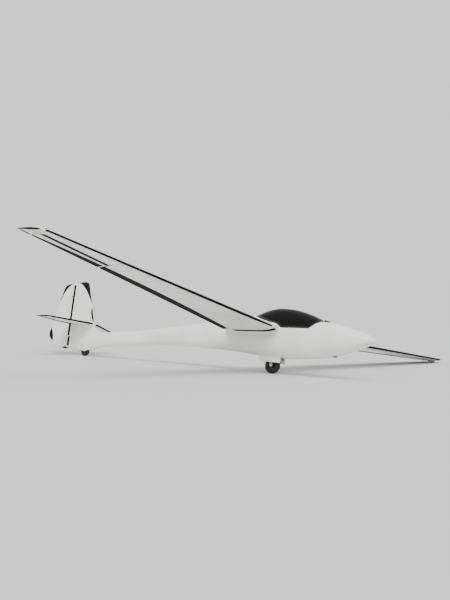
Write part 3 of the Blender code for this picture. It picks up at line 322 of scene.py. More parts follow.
def inside_mask(tree, start, line):
    """1 on faces that look at a line from a place, as a cockpit's or a well's walls do."""
    places = node(tree, "TexCoord", out="Object")
    normal = node(tree, "NewGeometry", out="True Normal")
    away = node(tree, "VectorMath", {0: places, 1: start}, operation="SUBTRACT")
    along = node(tree, "VectorMath", {0: away, 1: line}, operation="PROJECT")
    outward = node(tree, "VectorMath", {0: away, 1: along}, operation="SUBTRACT")
    facing = node(tree, "VectorMath", {0: outward, 1: normal}, "Value", operation="DOT_PRODUCT")
    return node(tree, "MapRange", {"Value": facing, "From Min": 0.0, "From Max": -0.004})


def gelcoat(name, colours, mirror=0.5):
    # Polyester gelcoat, sprayed in the mould and buffed: a deep even gloss on a nearly flat white, whose
    # faint clouds and fine ripple only show where a light is mirrored. Real clouds are 0.3 to 0.5 m wide.
    # A lower mirror keeps the enamel that is painted on it black in a pale room.
    return finish(
        name, (colours.gelcoat, shade(colours.gelcoat)), (420, 0.35, 0.65, {"Detail": 3.0}),
        ("#CFCDC6", 60, 0.58, 0.80, 0.20), (0.13, 0.24, 35), (0.6, 0.12), IOR=1.52, Specular_IOR_Level=mirror,
    )


def plastic(name, code, lowest):
    # Moulded plastic: one colour with a fine tooled grain of about 1 mm and greyer, rubbed high spots
    return finish(
        name, (code, shade(code, 0.88)), (1.2, 0.3, 0.7, {}),
        ("#8C8C8C", 7, 0.56, 0.78, 0.25), (lowest, lowest + 0.16, 4), (0.05, 0.4),
    )


def woven(name, code, thread, sheen):
    # Twill: slanted ribs of thread, painted lighter on their crests and darker in their grooves as painted
    # highlight and shade, with a bump that follows them. Real ribs are 0.8 to 1.5 mm apart and are drawn
    # about twice as coarse, so that they show in a picture of the cockpit.
    return finish(
        name, (shade(code, 0.72), shade(code, 1.3)), (thread * 6.28, 0.15, 0.85, {"Distortion": 0.5}),
        (shade(code, 1.7), 70, 0.55, 0.80, 0.30), (0.80, 0.95, 20), (0.35, 0.7),
        texture="TexWave", settings={"bands_direction": "DIAGONAL"},
        Sheen_Weight=sheen, Sheen_Roughness=0.5,
    )


FINISHES = {}
# Black enamel on gelcoat, laid as painted shade on the fin's and rudder's corners and edges and round the
# wing tips, and as a rim on the tailplane's tips: the finish, its name, and each painted patch as its mask
# and that mask's sizes
PAINTED = (
    ("fin", "gelcoat, fin with enamel corners and painted shade", (
        (corner_shade_mask, (6.201, 0.475), (0.246, 0.708), 12.1),
        (lens_shade_mask, (5.978, 0.560), (0.034, 0.140), 12.0),
    )),
    ("rudder", "gelcoat, rudder with enamel corners and painted shade", (
        (corner_shade_mask, (6.300, 0.710), (-0.446, 0.506), -17.7),
        (lens_shade_mask, (6.975, 0.195), (0.120, 0.215), 12.0),
        (lens_shade_mask, (6.560, -0.085), (0.078, 0.048), 0.0),
    )),
    # The wing tip's rim is black enamel and also painted shade round the tip
    ("tip", "gelcoat, wing tip with enamel rim and painted shade", ((tip_mask, (2.563, 7.18), (0.620, 0.295)),)),
    ("tailplane", "gelcoat, tailplane with enamel rim", ((tip_mask, (6.520, 1.0), (0.275, 0.100)),)),
)


def prepare_finishes(colours):
    # Black enamel, sprayed over the gelcoat and flatted: its edge is sharp and its sheen is low. On the fin,
    # the rudder and the wing tips it is laid as painted shade.
    for key, name, masks in PAINTED:
        made = FINISHES[key] = gelcoat(name, colours, 0.2)
        for mask, *sizes in masks:
            paint_over(made, mask(made.node_tree, *sizes), colours.trim, 0.5)
    shell = gelcoat("gelcoat outside, grey lacquer inside", colours)
    # The line runs inside the fuselage, from the nose's tip, and rises 50 mm in a metre
    mask = inside_mask(shell.node_tree, at(0, 0, -0.018), way(1, 0, 0.05))
    paint_over(shell, mask, colours.cockpit, 0.6)

    FINISHES.update(
        shell=shell,
        gelcoat=gelcoat("gelcoat, buffed", colours),
        # Black laminate, moulded and lightly sanded: satin, with a 3 mm weave that just shows
        laminate=finish(
            "black laminate, moulded", ("#0B0B0C", "#141516"), (3.0, 0.0, 1.0, {}),
            ("#2B2C2E", 16, 0.58, 0.78, 0.5), (0.26, 0.38, 20), (0.02, 0.3), texture="TexChecker",
        ),
        # Smoked acrylic, blown to shape: nearly black from outside, with clean sharp reflections and
        # faint polishing haze a hand's width across
        acrylic=finish(
            "smoked acrylic, blown", (colours.acrylic, "#0A0B0E"), (250, 0.3, 0.7, {}),
            ("#16181B", 40, 0.60, 0.80, 0.3), (0.02, 0.07, 90), (0.3, 0.05),
            IOR=1.49, Specular_IOR_Level=0.12, Transmission_Weight=0.08,
        ),
        # Tyre rubber, moulded and vulcanised: dull black, gone grey with dust in patches
        rubber=finish(
            "tyre rubber, vulcanised", ("#0E0E10", "#18181A"), (1.6, 0.3, 0.7, {"Detail": 3.0}),
            ("#403E39", 14, 0.50, 0.76, 0.45), (0.68, 0.88, 6), (0.15, 0.5),
        ),
        # Cast aluminium, turned on its faces: pale grey, softly mirrored, with a grain of about 1 mm
        cast=finish(
            "aluminium, cast and turned", ("#C6C9CB", "#A9ACAE"), (1.0, 0.3, 0.7, {}),
            ("#7F8284", 18, 0.56, 0.76, 0.4), (0.26, 0.44, 5), (0.05, 0.4), Metallic=1.0,
        ),
        # Black enamel baked on castings: semi-gloss over a grain of about 1 mm, dusty in patches
        rim=finish(
            "black enamel, baked on a casting", ("#0C0C0D", "#151516"), (1.0, 0.3, 0.7, {}),
            ("#3B3934", 16, 0.56, 0.78, 0.5), (0.40, 0.58, 6), (0.05, 0.4),
        ),
        # Grey enamel brushed on welded steel: semi-gloss, rubbed brighter in patches 20 mm across
        enamel=finish(
            "steel, grey enamel", (colours.steel, shade(colours.steel, 0.9)),
            (4.0, 0.3, 0.7, {"Detail": 3.0}), ("#B4B7B9", 22, 0.60, 0.74, 0.7), (0.30, 0.48, 10), (0.08, 0.4),
        ),
        # Zinc-plated steel: dull silver with a faint warm cast, patchy at the size of a fingertip
        zinc=finish(
            "steel, zinc plated", ("#BDBBB2", "#9C9D9B"), (6.0, 0.35, 0.65, {"Detail": 3.0}),
            ("#6E6A60", 9, 0.60, 0.80, 0.4), (0.25, 0.42, 3), (0.03, 0.3), Metallic=1.0,
        ),
        # Grey lacquer spattered on laminate: pale flecks 2 to 3 mm across on a mid grey, quite matt
        lacquer=finish(
            "grey lacquer, spattered", (colours.cockpit, "#B9BCBE"), (2.6, 0.60, 0.66, {"Detail": 1.0}),
            ("#4A4D50", 3.4, 0.62, 0.68, 1.0), (0.50, 0.68, 12), (0.10, 0.6),
        ),
        # Black crackle lacquer on sheet aluminium: matt, with wrinkles 1.6 mm apart
        crackle=finish(
            "black lacquer, crackle", ("#111213", "#202123"), (1.6, 0.0, 0.8, {}),
            ("#3A3A3B", 12, 0.60, 0.78, 0.5), (0.55, 0.72, 8), (0.25, 0.6), texture="TexVoronoi",
        ),
        # Nylon, moulded white and scuffed by grass and tarmac, with dull patches 9 mm across
        nylon=finish(
            "nylon, moulded", ("#E4E4E0", "#D2D2CC"), (3.0, 0.3, 0.7, {"Detail": 5.0}),
            ("#77746C", 9, 0.55, 0.75, 0.7), (0.45, 0.70, 4), (0.12, 0.6), IOR=1.53,
        ),
        # Black film, pressed on, as seals and edge strips: quite matt, with ripples 15 mm apart. Laid deep
        # under the trailing edges, it is also painted shade.
        film=finish(
            "black film, pressed on", ("#060606", "#0B0B0C"), (15, 0.35, 0.70, {"Detail": 3.0}),
            ("#191919", 30, 0.60, 0.80, 0.4), (0.66, 0.80, 12), (0.10, 0.4), Specular_IOR_Level=0.08,
        ),
        cushion=woven("wool mix, twill", colours.cloth, 1.2, 0.35),
        webbing=woven("polyester webbing, twill", "#4A515B", 0.9, 0.15),
        # Dark leather, grained: rounded pebbles 2.4 mm across with darker creases
        leather=finish(
            "dark leather, grained", ("#121215", "#29292E"), (2.4, 0.0, 0.7, {}),
            ("#3F3D3A", 30, 0.55, 0.80, 0.4), (0.42, 0.60, 30), (-0.30, 0.6),
            texture="TexVoronoi", Sheen_Weight=0.1,
        ),
        # Instrument faces, screen printed in matt black under a clear window
        dial=finish(
            "dial face, screen printed", ("#0C0C0D", "#141416"), (20, 0.3, 0.7, {}),
            ("#1D1D1F", 8, 0.60, 0.80, 0.4), (0.50, 0.60, 4), (0.02, 0.2),
            Coat_Weight=1.0, Coat_Roughness=0.02,
        ),
        print=plastic("white print, screened", "#E9E9E4", 0.52),
        blue=plastic("blue plastic, moulded", "#1E4FA0", 0.32),
        yellow=plastic("yellow plastic, moulded", "#D9B21B", 0.32),
        red=plastic("red plastic, moulded", "#B3201C", 0.32),
        green=plastic("green plastic, moulded", "#2E7A3C", 0.32),
        grip=plastic("black rubber, moulded", "#1A1A1B", 0.58),
    )


# Shapes that the pieces are made of

# Slot name of each finish
SLOTS = {
    **dict.fromkeys(("film", "laminate"), "black_frame"),
    **dict.fromkeys(("zinc", "cast", "enamel", "blue"), "grey_steel"),
    **dict.fromkeys(("grip", "red", "yellow", "green", "print", "dial"), "black_panel"),
    **dict.fromkeys(("leather", "webbing"), "headrest_leather"),
    "gelcoat": "white_gelcoat",
    "rim": "black_enamel",
    "rubber": "tyre_rubber",
    "acrylic": "smoked_acrylic",
    "cushion": "cockpit_grey",
}


def placed_mesh(name, shape, material):
    """A mesh with its finish as an object in the scene."""
    mesh = bpy.data.meshes.new(name)
    shape.to_mesh(mesh)
    shape.free()
    mesh.materials.append(material)
    piece = bpy.data.objects.new(name, mesh)
    bpy.context.scene.collection.objects.link(piece)
    return piece


def shown(name, shape, finish_name, body="airframe", smooth=35):
    """A mesh as a piece of the aircraft, with its finish, on the body that carries it."""
    if not shape.faces:
        raise RuntimeError(f"{name} is empty")
    bmesh.ops.recalc_face_normals(shape, faces=shape.faces)
    piece = placed_mesh(name, shape, FINISHES[finish_name])
    for face in piece.data.polygons:
        face.use_smooth = True
    piece.data.set_sharp_from_angle(angle=radians(smooth))
    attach(piece, body)
    return piece


def shapes(count):
    return [bmesh.new() for _ in range(count)]


def around(first, second, count):
    """Directions evenly round a circle, from the first one towards the second."""
    angles = [2 * pi * i / count for i in range(count)]
    return [first * cos(angle) + second * sin(angle) for angle in angles]


def bridge(shape, row, after):
    for i in range(len(row)):
        j = (i + 1) % len(row)
        shape.faces.new((row[i], row[j], after[j], after[i]))


def close(shape, rows):
    """Joins closed rows of points into a bar with flat ends."""
    for row, after in zip(rows, rows[1:]):
        bridge(shape, row, after)
    shape.faces.new(rows[0])
    shape.faces.new(rows[-1])


def turned_rows(shape, centre, axis, profile, steps):
    """Rings of points about an axis, one for each distance along it and radius of a profile."""
    axis = axis.normalized()
    across = axis.orthogonal().normalized()
    spokes = around(across, axis.cross(across), steps)
    return [[shape.verts.new(centre + axis * a + spoke * r) for spoke in spokes] for a, r in profile]


def add_turned(shape, centre, axis, profile, steps):
    """Adds a closed shape turned about an axis; the profile is distance along it and radius."""
    close(shape, turned_rows(shape, centre, axis, profile, steps))


def add_ring(shape, centre, axis, profile, steps):
    """Adds a ring about an axis; the profile is a closed outline of distance along it and radius."""
    rows = turned_rows(shape, centre, axis, profile, steps)
    for row, after in zip(rows, rows[1:] + rows[:1]):
        bridge(shape, row, after)


def add_rod(shape, start, end, radius, steps=12, rounding=0.25):
    """Adds a bar with rounded ends."""
    length = (end - start).length
    soft = min(radius * rounding, length / 4)
    profile = [(0, radius - soft), (soft, radius), (length - soft, radius), (length, radius - soft)]
    add_turned(shape, start, end - start, profile, steps)


def add_slab(shape, middle, along, across, sizes, rounding=0.3):
    """Adds a block with rounded edges round its middle; sizes run along, across and through it."""
    made = bmesh.new()
    bmesh.ops.create_cube(made, size=1.0)
    bmesh.ops.scale(made, vec=sizes, verts=made.verts)
    offset = min(sizes) * rounding
    bmesh.ops.bevel(made, geom=made.edges[:], offset=offset, segments=2, profile=0.6, affect="EDGES")
    along = along.normalized()
    through = along.cross(across).normalized()
    turn = Matrix((along, through.cross(along), through)).transposed().to_4x4()
    bmesh.ops.transform(made, matrix=Matrix.Translation(middle) @ turn, verts=made.verts)
    mesh = bpy.data.meshes.new("slab")
    made.to_mesh(mesh)
    made.free()
    shape.from_mesh(mesh)
    bpy.data.meshes.remove(mesh)


def add_bolt(shape, foot, axis, radius, height):
    """Adds a six-sided bolt head on its washer."""
    axis = axis.normalized()
    add_turned(shape, foot, axis, [(0, radius * 1.4), (height * 0.25, radius * 1.35)], 20)
    head = [(0, radius), (height * 0.8, radius), (height * 0.9, radius * 0.86)]
    add_turned(shape, foot + axis * height * 0.2, axis, head, 6)


def add_screw(shape, foot, axis, radius):
    """Adds a flat screw head with a cross-shaped recess."""
    axis = axis.normalized()
    across = axis.orthogonal().normalized()
    low = radius * 0.35
    add_turned(shape, foot, axis, [(0, radius), (low * 0.5, radius), (low, radius * 0.75)], 16)
    for spoke in (across, axis.cross(across)):
        arm = (radius, radius * 0.22, low * 0.3)
        add_slab(shape, foot + axis * low, spoke, axis.cross(spoke), arm, 0.15)


def curve_through(points, per_span):
    """A smooth line of points through the given ones."""
    ends = [points[0] * 2 - points[1], *points, points[-1] * 2 - points[-2]]
    line = []
    for i in range(len(points) - 1):
        a, b, c, d = ends[i : i + 4]
        for k in range(per_span):
            t = k / per_span
            bend = (2 * a - 5 * b + 4 * c - d) * t**2 + (3 * b - a - 3 * c + d) * t**3
            line.append(0.5 * (2 * b + (c - a) * t + bend))
    return line + [points[-1]]


def directions(points):
    """The way along a line at each of its points."""
    last = len(points) - 1
    return [(points[min(i + 1, last)] - points[max(i - 1, 0)]).normalized() for i in range(last + 1)]


def add_tube(shape, points, radius, steps):
    """Adds a bent tube along a line of points."""
    rows = []
    across = (points[1] - points[0]).orthogonal().normalized()
    for point, along in zip(points, directions(points)):
        across = (across - along * across.dot(along)).normalized()
        spokes = around(across, along.cross(across), steps)
        rows.append([shape.verts.new(point + spoke * radius) for spoke in spokes])
    close(shape, rows)


def add_ribbon(shape, points, side, width, thick):
    """Adds a flat strap along a line; side is the direction of its width."""
    rows = []
    for point, along in zip(points, directions(points)):
        across = (side - along * side.dot(along)).normalized()
        lift = across.cross(along) * thick / 2
        half = across * width / 2
        edge = across * (width / 2 - thick)
        corners = (half, edge + lift, -edge + lift, -half, -edge - lift, edge - lift)
        rows.append([shape.verts.new(point + corner) for corner in corners])
    close(shape, rows)


SKINS = {}
# How far off its surface a film lies
ROOM = 0.0004


def skin(name):
    """The surface of a solid or a piece, for laying other pieces on it."""
    if name not in SKINS:
        shape = bmesh.new()
        holder = frame["nodes"].get(name) or bpy.data.objects[name]
        shape.from_mesh(holder.data)
        SKINS[name] = BVHTree.FromBMesh(shape)
        shape.free()
    return SKINS[name]


def land(name, point, direction, reach=0.6):
    """Where a line through a point first meets a surface, and the way out of it there."""
    hit, normal, _, _ = skin(name).ray_cast(point - direction * reach, direction, reach * 2)
    if hit is not None and normal.dot(direction) > 0:
        normal = -normal
    return hit, normal


def land_all(name, points, direction, reach=0.6):
    """Each place where a line through a point meets a surface, and the way out of it there."""
    found = [land(name, point, direction, reach) for point in points]
    return [(hit, normal) for hit, normal in found if hit is not None]


def add_sheet(shape, rows, thick):
    """Adds a thin sheet just off a surface; rows hold places on it and the ways out of it."""
    rows = [row for row in rows if all(hit is not None for hit, _ in row)]
    if len(rows) < 2:
        raise RuntimeError("a sheet misses its surface")
    low, high = [
        [[shape.verts.new(hit + normal * lift) for hit, normal in row] for row in rows]
        for lift in (ROOM, ROOM + thick)
    ]
    last = len(rows[0]) - 1
    for r in range(len(rows) - 1):
        for c in range(last):
            for sheet in (low, high):
                shape.faces.new((sheet[r][c], sheet[r][c + 1], sheet[r + 1][c + 1], sheet[r + 1][c]))
        for c in (0, last):
            shape.faces.new((low[r][c], low[r + 1][c], high[r + 1][c], high[r][c]))
    for r in (0, len(rows) - 1):
        for c in range(last):
            shape.faces.new((low[r][c], low[r][c + 1], high[r][c + 1], high[r][c]))


def add_tape(shape, name, line, across, direction, widths, thick, columns=5, reach=0.6):
    """Adds a tape on a surface along a line; direction points into it, and widths may be a list."""
    if not isinstance(widths, list):
        widths = [widths] * len(line)
    shares = even(-0.5, 0.5, columns)
    rows = []
    for point, width in zip(line, widths):
        rows.append([land(name, point + across * width * share, direction, reach) for share in shares])
    add_sheet(shape, rows, thick)


def add_wrap(shape, name, line, depths, thick):
    """Adds a film wrapped round a leading edge, along the line of that edge."""
    angles = [radians(degrees) for degrees in even(-86, 86, 33)]
    ways = [AFT * cos(angle) - UP * sin(angle) for angle in angles]
    rows = []
    for point, depth in zip(line, depths):
        rows.append([land(name, point + AFT * depth, direction, 0.15) for direction in ways])
    add_sheet(shape, rows, thick)


# The stage

# Brightness of the air all round, and the floor's colour, radius and drop
AIR, PAPER, FLOOR_RADIUS, FLOOR_DROP = 1.15, "#D9D9D9", 300.0, 0.0005
# Camera fitted on the level aircraft, to about a pixel of the drawing at most places: turn, tilt and roll
# in degrees, place of the aircraft's middle before it, focal length and picture height in pixels
CAMERA_ANGLES = (30.02, 8.51, -3.43)
CAMERA_MIDDLE, CAMERA_SHIFT = (-3.0, 0, 0.1), (0.0753, -0.6689, 41.68)
FOCAL_PIXELS, FRAME_HEIGHT = 2290.7, 600


class SAILPLANE_OT_stage(Operator):
    """Adds the floor, the soft light and the camera"""

    bl_idname = "sailplane.stage"
    bl_label = "Stage and camera"

    def execute(self, context):
        world = bpy.data.worlds.new("studio air")
        world.use_nodes = True
        world.node_tree.nodes["Background"].inputs["Color"].default_value = (1.0, 1.0, 1.0, 1.0)
        world.node_tree.nodes["Background"].inputs["Strength"].default_value = AIR
        context.scene.world = world
        # The sun adds to the floor what its paper swallows, so that floor and air have one tone
        toward = Vector((0.30, -0.55, 0.78)).normalized()
        light = bpy.data.lights.new("soft light", "SUN")
        light.energy = AIR * (1 / linear(PAPER)[0] - 1) * pi / toward.z
        light.angle = radians(35)
        lamp = bpy.data.objects.new("soft light", light)
        lamp.rotation_euler = (-toward).to_track_quat("-Z", "Y").to_euler()

        # Studio paper, matt: a pale grey with clouds too wide and faint to read as a pattern
        paper = finish(
            "studio paper, matt", (PAPER, shade(PAPER, 0.995)), (9000, 0.3, 0.7, {}),
            (shade(PAPER, 0.99), 4000, 0.60, 0.80, 0.3), (0.96, 1.0, 3000), (0.1, 0.0),
            Specular_IOR_Level=0.0,
        )
        shape = bmesh.new()
        bmesh.ops.create_circle(shape, cap_ends=True, segments=96, radius=FLOOR_RADIUS)
        bmesh.ops.translate(shape, verts=shape.verts, vec=(0, 0, -FLOOR_DROP))
        placed_mesh("floor", shape, paper)

        turn, tilt, roll = [radians(degrees) for degrees in CAMERA_ANGLES]
        base = Matrix(((cos(turn), sin(turn), 0), (0, 0, 1), (-sin(turn), cos(turn), 0)))
        seen = Matrix.Rotation(roll, 3, "Z") @ Matrix.Rotation(tilt, 3, "X") @ base
        centre = Vector(CAMERA_MIDDLE) - seen.transposed() @ Vector(CAMERA_SHIFT)
        axes = Matrix((seen[0], seen[1], -seen[2])).transposed()
        lens = bpy.data.cameras.new("camera")
        lens.sensor_width = 36
        lens.lens = FOCAL_PIXELS * lens.sensor_width / FRAME_HEIGHT
        lens.clip_end = 1000
        camera = bpy.data.objects.new("camera", lens)
        camera.matrix_world = LEVEL @ Matrix.Translation(centre) @ axes.to_4x4()
        for thing in (lamp, camera):
            context.scene.collection.objects.link(thing)
        context.scene.camera = camera
        return {"FINISHED"}


# The solids that stay

# A name with _ at its end stands for the left one and the right one
SOLID_FINISHES = {
    "shell": "cockpit_shell centre_fuselage",
    "gelcoat": "tail_boom root_fairing_ wheel_door_ wing_ aileron_ airbrake_",
    "fin": "fin",
    "rudder": "rudder",
    "tip": "wing_tip_",
    "tailplane": "tailplane_",
    "laminate": "canopy_frame",
    "acrylic": "canopy_glass",
    "rubber": "tail_tyre",
    "rim": "main_rim tail_rim canopy_hinge",
    "cast": "tailplane_tube",
    "enamel": "main_leg_ tail_leg_ tow_release rudder_pedals airbrake_lever",
    "zinc": "main_axle tail_axle",
    "lacquer": "seat_pan seat_back",
    "crackle": "instrument_panel",
    "grip": "control_stick",
    "nylon": "tip_skid_",
}


def smooth_group(angle):
    """Nodes for a modifier that shades a solid smooth, but for edges that bend more than an angle."""
    group = bpy.data.node_groups.new("smooth but for edges", "GeometryNodeTree")
    for in_out in ("INPUT", "OUTPUT"):
        group.interface.new_socket("Geometry", in_out=in_out, socket_type="NodeSocketGeometry")
    solid = node(group, "NodeGroupInput")
    solid = node(group, "GeometryNodeRemoveAttribute", {"Geometry": solid, "Name": "custom_normal"})
    solid = node(group, "GeometryNodeMergeByDistance", {"Geometry": solid, "Distance": 0.00001})
    solid = node(group, "GeometryNodeSetShadeSmooth", {0: solid, 2: True}, domain="FACE")
    bend = node(group, "GeometryNodeInputMeshEdgeAngle", out="Unsigned Angle")
    sharp = node(group, "FunctionNodeCompare", {0: bend, 1: angle}, operation="GREATER_THAN")
    solid = node(group, "GeometryNodeSetShadeSmooth", {0: solid, 1: sharp, 2: False}, domain="EDGE")
    node(group, "NodeGroupOutput", {0: solid})
    return group


class SAILPLANE_OT_solids(Operator):
    """Gives every solid that stays its finish and smooth shading"""

    bl_idname = "sailplane.solids"
    bl_label = "Finishes of the solids"

    def execute(self, context):
        prepare_finishes(context.scene.sailplane_colours)
        group = smooth_group(radians(28))
        for finish_name, names in SOLID_FINISHES.items():
            for name in names.split():
                for word in ("left", "right") if name.endswith("_") else ("",):
                    solid = frame["nodes"][name + word]
                    solid.modifiers.new("smooth", "NODES").node_group = group
                    for slot in solid.material_slots:
                        slot.material = FINISHES[finish_name]
        return {"FINISHED"}


# Films and seals


class SAILPLANE_OT_seals(Operator):
    """Lays seals ahead of the ailerons and the rudder, and round the wings' roots"""

    bl_idname = "sailplane.seals"
    bl_label = "Seals"

    def execute(self, context):
        sizes = context.scene.sailplane_sizes
        thick = sizes.tape_thick
        # Each face of a wing: the way into it, the width of the aileron's tape and of the root's tape, and
        # how far ahead of the trailing edge the root's tape stops
        faces = (
            ("top", -UP, sizes.seal_width, 0.0425, 0.010),
            ("bottom", UP, sizes.seal_width * 1.9, 0.120, 0.200),
        )
        for hand, word in SIDES:
            holder = f"wing_{word}"
            for side, direction, width, root_width, short in faces:
                shape, root = shapes(2)
                ends = []
                for out in (AILERON_IN + 0.02, AILERON_OUT - 0.02):
                    station = aileron_line(out) - 0.012 - width / 2
                    ends.append(at(station, out * hand, wing_edges(out)[2]))
                add_tape(shape, holder, even(*ends, 26), AFT, direction, width, thick)
                # Thin tapes along the slanted ends of the aileron's bay
                for out, beside, reach in ((AILERON_IN, -0.020, 0.19), (AILERON_OUT, 0.020, 0.155)):
                    front, height = aileron_line(out), wing_edges(out)[2]
                    line = []
                    for behind in even(-0.02, reach, 12):
                        place = out + beside - AILERON_SLANT * behind
                        line.append(at(front + behind, place * hand, height))
                    add_tape(shape, holder, line, LEFT, direction, 0.020, thick)
                shown(f"aileron_seal_{word}_{side}", shape, "film")

                leading, trailing, height = wing_edges(0.375)
                line = []
                for angle in even(0, pi, 60):
                    station = mix(leading + 0.016, trailing - short, 0.5 - 0.5 * cos(angle))
                    line.append(at(station, (ROOT_JOINT + root_width / 2) * hand, height))
                add_tape(root, holder, line, LEFT, direction, root_width, thick, 9)
                shown(f"root_seal_{word}_{side}", root, "film")

            shape = bmesh.new()
            width = sizes.seal_width * 0.9
            for holder, low, high, ahead in (
                ("fin", 0.172, 1.135, 0.013),
                ("tail_boom", -0.060, 0.162, 0.030),
            ):
                line = []
                for height in even(low, high, 24):
                    line.append(at(station_on(RUDDER_AXIS, height) - ahead - width / 2, 0, height))
                add_tape(shape, holder, line, AFT, LEFT * -hand, width, thick)
            shown(f"rudder_seal_{word}", shape, "film")
        return {"FINISHED"}


# Height of the tailplane, distance out where a wing's front film ends, and width of its upper rear film
TAILPLANE_HEIGHT, FILM_ROOT, UPPER_FILM = 0.388, 0.520, 0.020


class SAILPLANE_OT_edges(Operator):
    """Lays the black films on the leading and trailing edges of the wings and the tailplane"""

    bl_idname = "sailplane.edges"
    bl_label = "Edge films"

    def execute(self, context):
        sizes = context.scene.sailplane_sizes
        thick = sizes.tape_thick
        for hand, word in SIDES:
            fixed, moving = shapes(2)
            # The front film thins towards the root, over its first 1.3 m
            line, depths = [], []
            for out in even(FILM_ROOT, TIP_JOINT - 0.0015, 60):
                leading, _, height = wing_edges(out)
                line.append(at(leading, out * hand, height))
                depths.append(sizes.front_film * mix(0.45, 1.0, min(1.0, (out - FILM_ROOT) / 1.3)))
            add_wrap(fixed, f"wing_{word}", line, depths, thick)
            height = wing_edges(SKID_OUT)[2]
            first = at(2.099, (TIP_JOINT + 0.0015) * hand, height)
            line = even(first, at(2.121, 7.345 * hand, height), 6)
            add_wrap(fixed, f"wing_tip_{word}", line, [sizes.front_film] * len(line), thick)
            # Each stretch of the trailing edge: what it is laid on, its inner and outer end, and how far
            # those ends run inboard for each metre aft
            for shape, holder, start, end, slant in (
                (fixed, f"wing_{word}", 0.465, 4.99, AILERON_SLANT),
                (moving, f"aileron_{word}", 5.04, 7.09, AILERON_SLANT),
                (fixed, f"wing_{word}", 7.132, TIP_JOINT - 0.002, 0.0),
                (fixed, f"wing_tip_{word}", TIP_JOINT + 0.002, 7.44, 0.0),
            ):
                across = way(1, -slant * hand, 0)
                for direction in (UP, -UP):
                    line, widths = [], []
                    for out in even(start, end, max(4, round((end - start) / 0.12))):
                        _, trailing, height = wing_edges(out)
                        # Under the trailing edge the film is a black edge strip, and its swell, deepest 3.2 m
                        # out, is painted shade on the underside
                        swell = max(0.0, 1 - ((out - 3.2) / 4.1) ** 2) * sizes.rear_shade_swell
                        width = sizes.rear_film + swell if direction == UP else UPPER_FILM
                        middle = width / 2 + 0.002
                        line.append(at(trailing - middle, (out + slant * middle) * hand, height))
                        widths.append(width)
                    add_tape(shape, holder, line, across, direction, widths, thick)
            shown(f"wing_films_and_shade_{word}", fixed, "film")
            shown(f"aileron_film_and_shade_{word}", moving, "film", f"aileron_{word}_body")
        films = bmesh.new()
        for hand, word in SIDES:
            holder = f"tailplane_{word}"
            ends = at(5.930, 0.052 * hand, TAILPLANE_HEIGHT), at(6.225, 1.048 * hand, TAILPLANE_HEIGHT)
            add_wrap(films, holder, even(*ends, 16), [0.036] * 16, thick)
            ends = at(6.466, 0.060 * hand, TAILPLANE_HEIGHT), at(6.518, 1.045 * hand, TAILPLANE_HEIGHT)
            # Under the trailing edge the film runs 180 to 110 mm deep, a black edge strip widened as painted
            # shade on the underside; on top it is 18 mm
            for direction, inner, outer in ((UP, 0.180, 0.110), (-UP, 0.018, 0.018)):
                widths = even(inner, outer, 16)
                line = [point - AFT * (width / 2) for point, width in zip(even(*ends, 16), widths)]
                add_tape(films, holder, line, AFT, direction, widths, thick)
        shown("tailplane_films_and_shade", films, "film", "tailplane")
        return {"FINISHED"}


# Wheels


def tyre_outline(ring, tube, seat, grooves, groove_width, depth, ribs):
    """A tyre's cut: distance along the axle and radius, with grooves in its tread and ribs on its sides."""
    widest = acos((seat - ring) / tube)
    outline = []
    for angle in even(-widest, widest, 111):
        along, radius = tube * sin(angle), ring + tube * cos(angle)
        for groove in grooves:
            dip = max(0.0, 1 - (abs(along - groove) / (groove_width / 2)) ** 4)
            if radius > ring:
                radius -= depth * dip
        if abs(along) > tube * 0.9 or radius < ring:
            along -= copysign(sin(radius * ribs) ** 2 * 0.0006, along)
        outline.append((along, radius))
    return outline


def add_rim_bolts(shape, foot, hand, count, spread, radius, height):
    """Adds bolts in a circle on one face of a rim."""
    for spoke in around(AFT, UP, count):
        add_bolt(shape, foot + spoke * spread, LEFT * hand, radius, height)


class SAILPLANE_OT_main_wheel(Operator):
    """Adds the grooved main tyre, the drum brake, the rim's bolts and the axle's nuts"""

    bl_idname = "sailplane.main_wheel"
    bl_label = "Main wheel"

    def execute(self, context):
        depth = context.scene.sailplane_sizes.groove_depth
        hub = at(WHEEL[0], 0, WHEEL[1])
        tread, drum, nuts, valve = shapes(4)
        outline = tyre_outline(0.100, 0.0498, 0.0602, (-0.025, -0.0085, 0.0085, 0.025), 0.0055, depth, 900)
        add_ring(tread, hub, LEFT, outline, 72)
        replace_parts(shown("main_tyre_grooved", tread, "rubber", "main_wheel", smooth=45), "main_tyre")

        cut = [(0.0, 0.0300), (0.0, 0.0500), (0.014, 0.0510), (0.017, 0.0480), (0.017, 0.0300)]
        add_ring(drum, hub - LEFT * 0.0335, -LEFT, cut, 48)
        for hand, start in ((1, 0.016), (-1, 0.0505)):
            add_rim_bolts(drum, hub + LEFT * hand * start, hand, 6, 0.040, 0.0045, 0.006)
        shown("brake_drum", drum, "rim", "main_wheel")

        for hand in HANDS:
            # Washer, nut and the axle's end, each from its own distance out
            for start, profile, steps in (
                (0.0713, [(0.0, 0.0215), (0.0015, 0.0215)], 28),
                (0.0728, [(0.0, 0.0165), (0.0085, 0.0165), (0.0100, 0.0150)], 6),
                (0.0830, [(0.0, 0.0090), (0.0030, 0.0090), (0.0045, 0.0070)], 20),
            ):
                add_turned(nuts, hub + LEFT * hand * start, LEFT * hand, profile, steps)
        shown("axle_nuts", nuts, "cast")
        spoke = AFT * 0.6 + UP * 0.8
        foot = hub + LEFT * 0.014 + spoke * 0.046
        add_rod(valve, foot, foot + LEFT * 0.022 + spoke * 0.004, 0.003)
        add_rod(valve, foot + LEFT * 0.020, foot + LEFT * 0.028 + spoke * 0.004, 0.0042)
        shown("valve_stem", valve, "grip", "main_wheel")
        return {"FINISHED"}


# Distances of a wheel door's inner face and of a leg's outer face from the middle
DOOR_FACE, LEG_FACE = 0.0880, 0.0712


def on_door(hand, station, inward, height):
    """A place by a wheel door, inward of its inner face."""
    return at(station, (DOOR_FACE - inward) * hand, height)


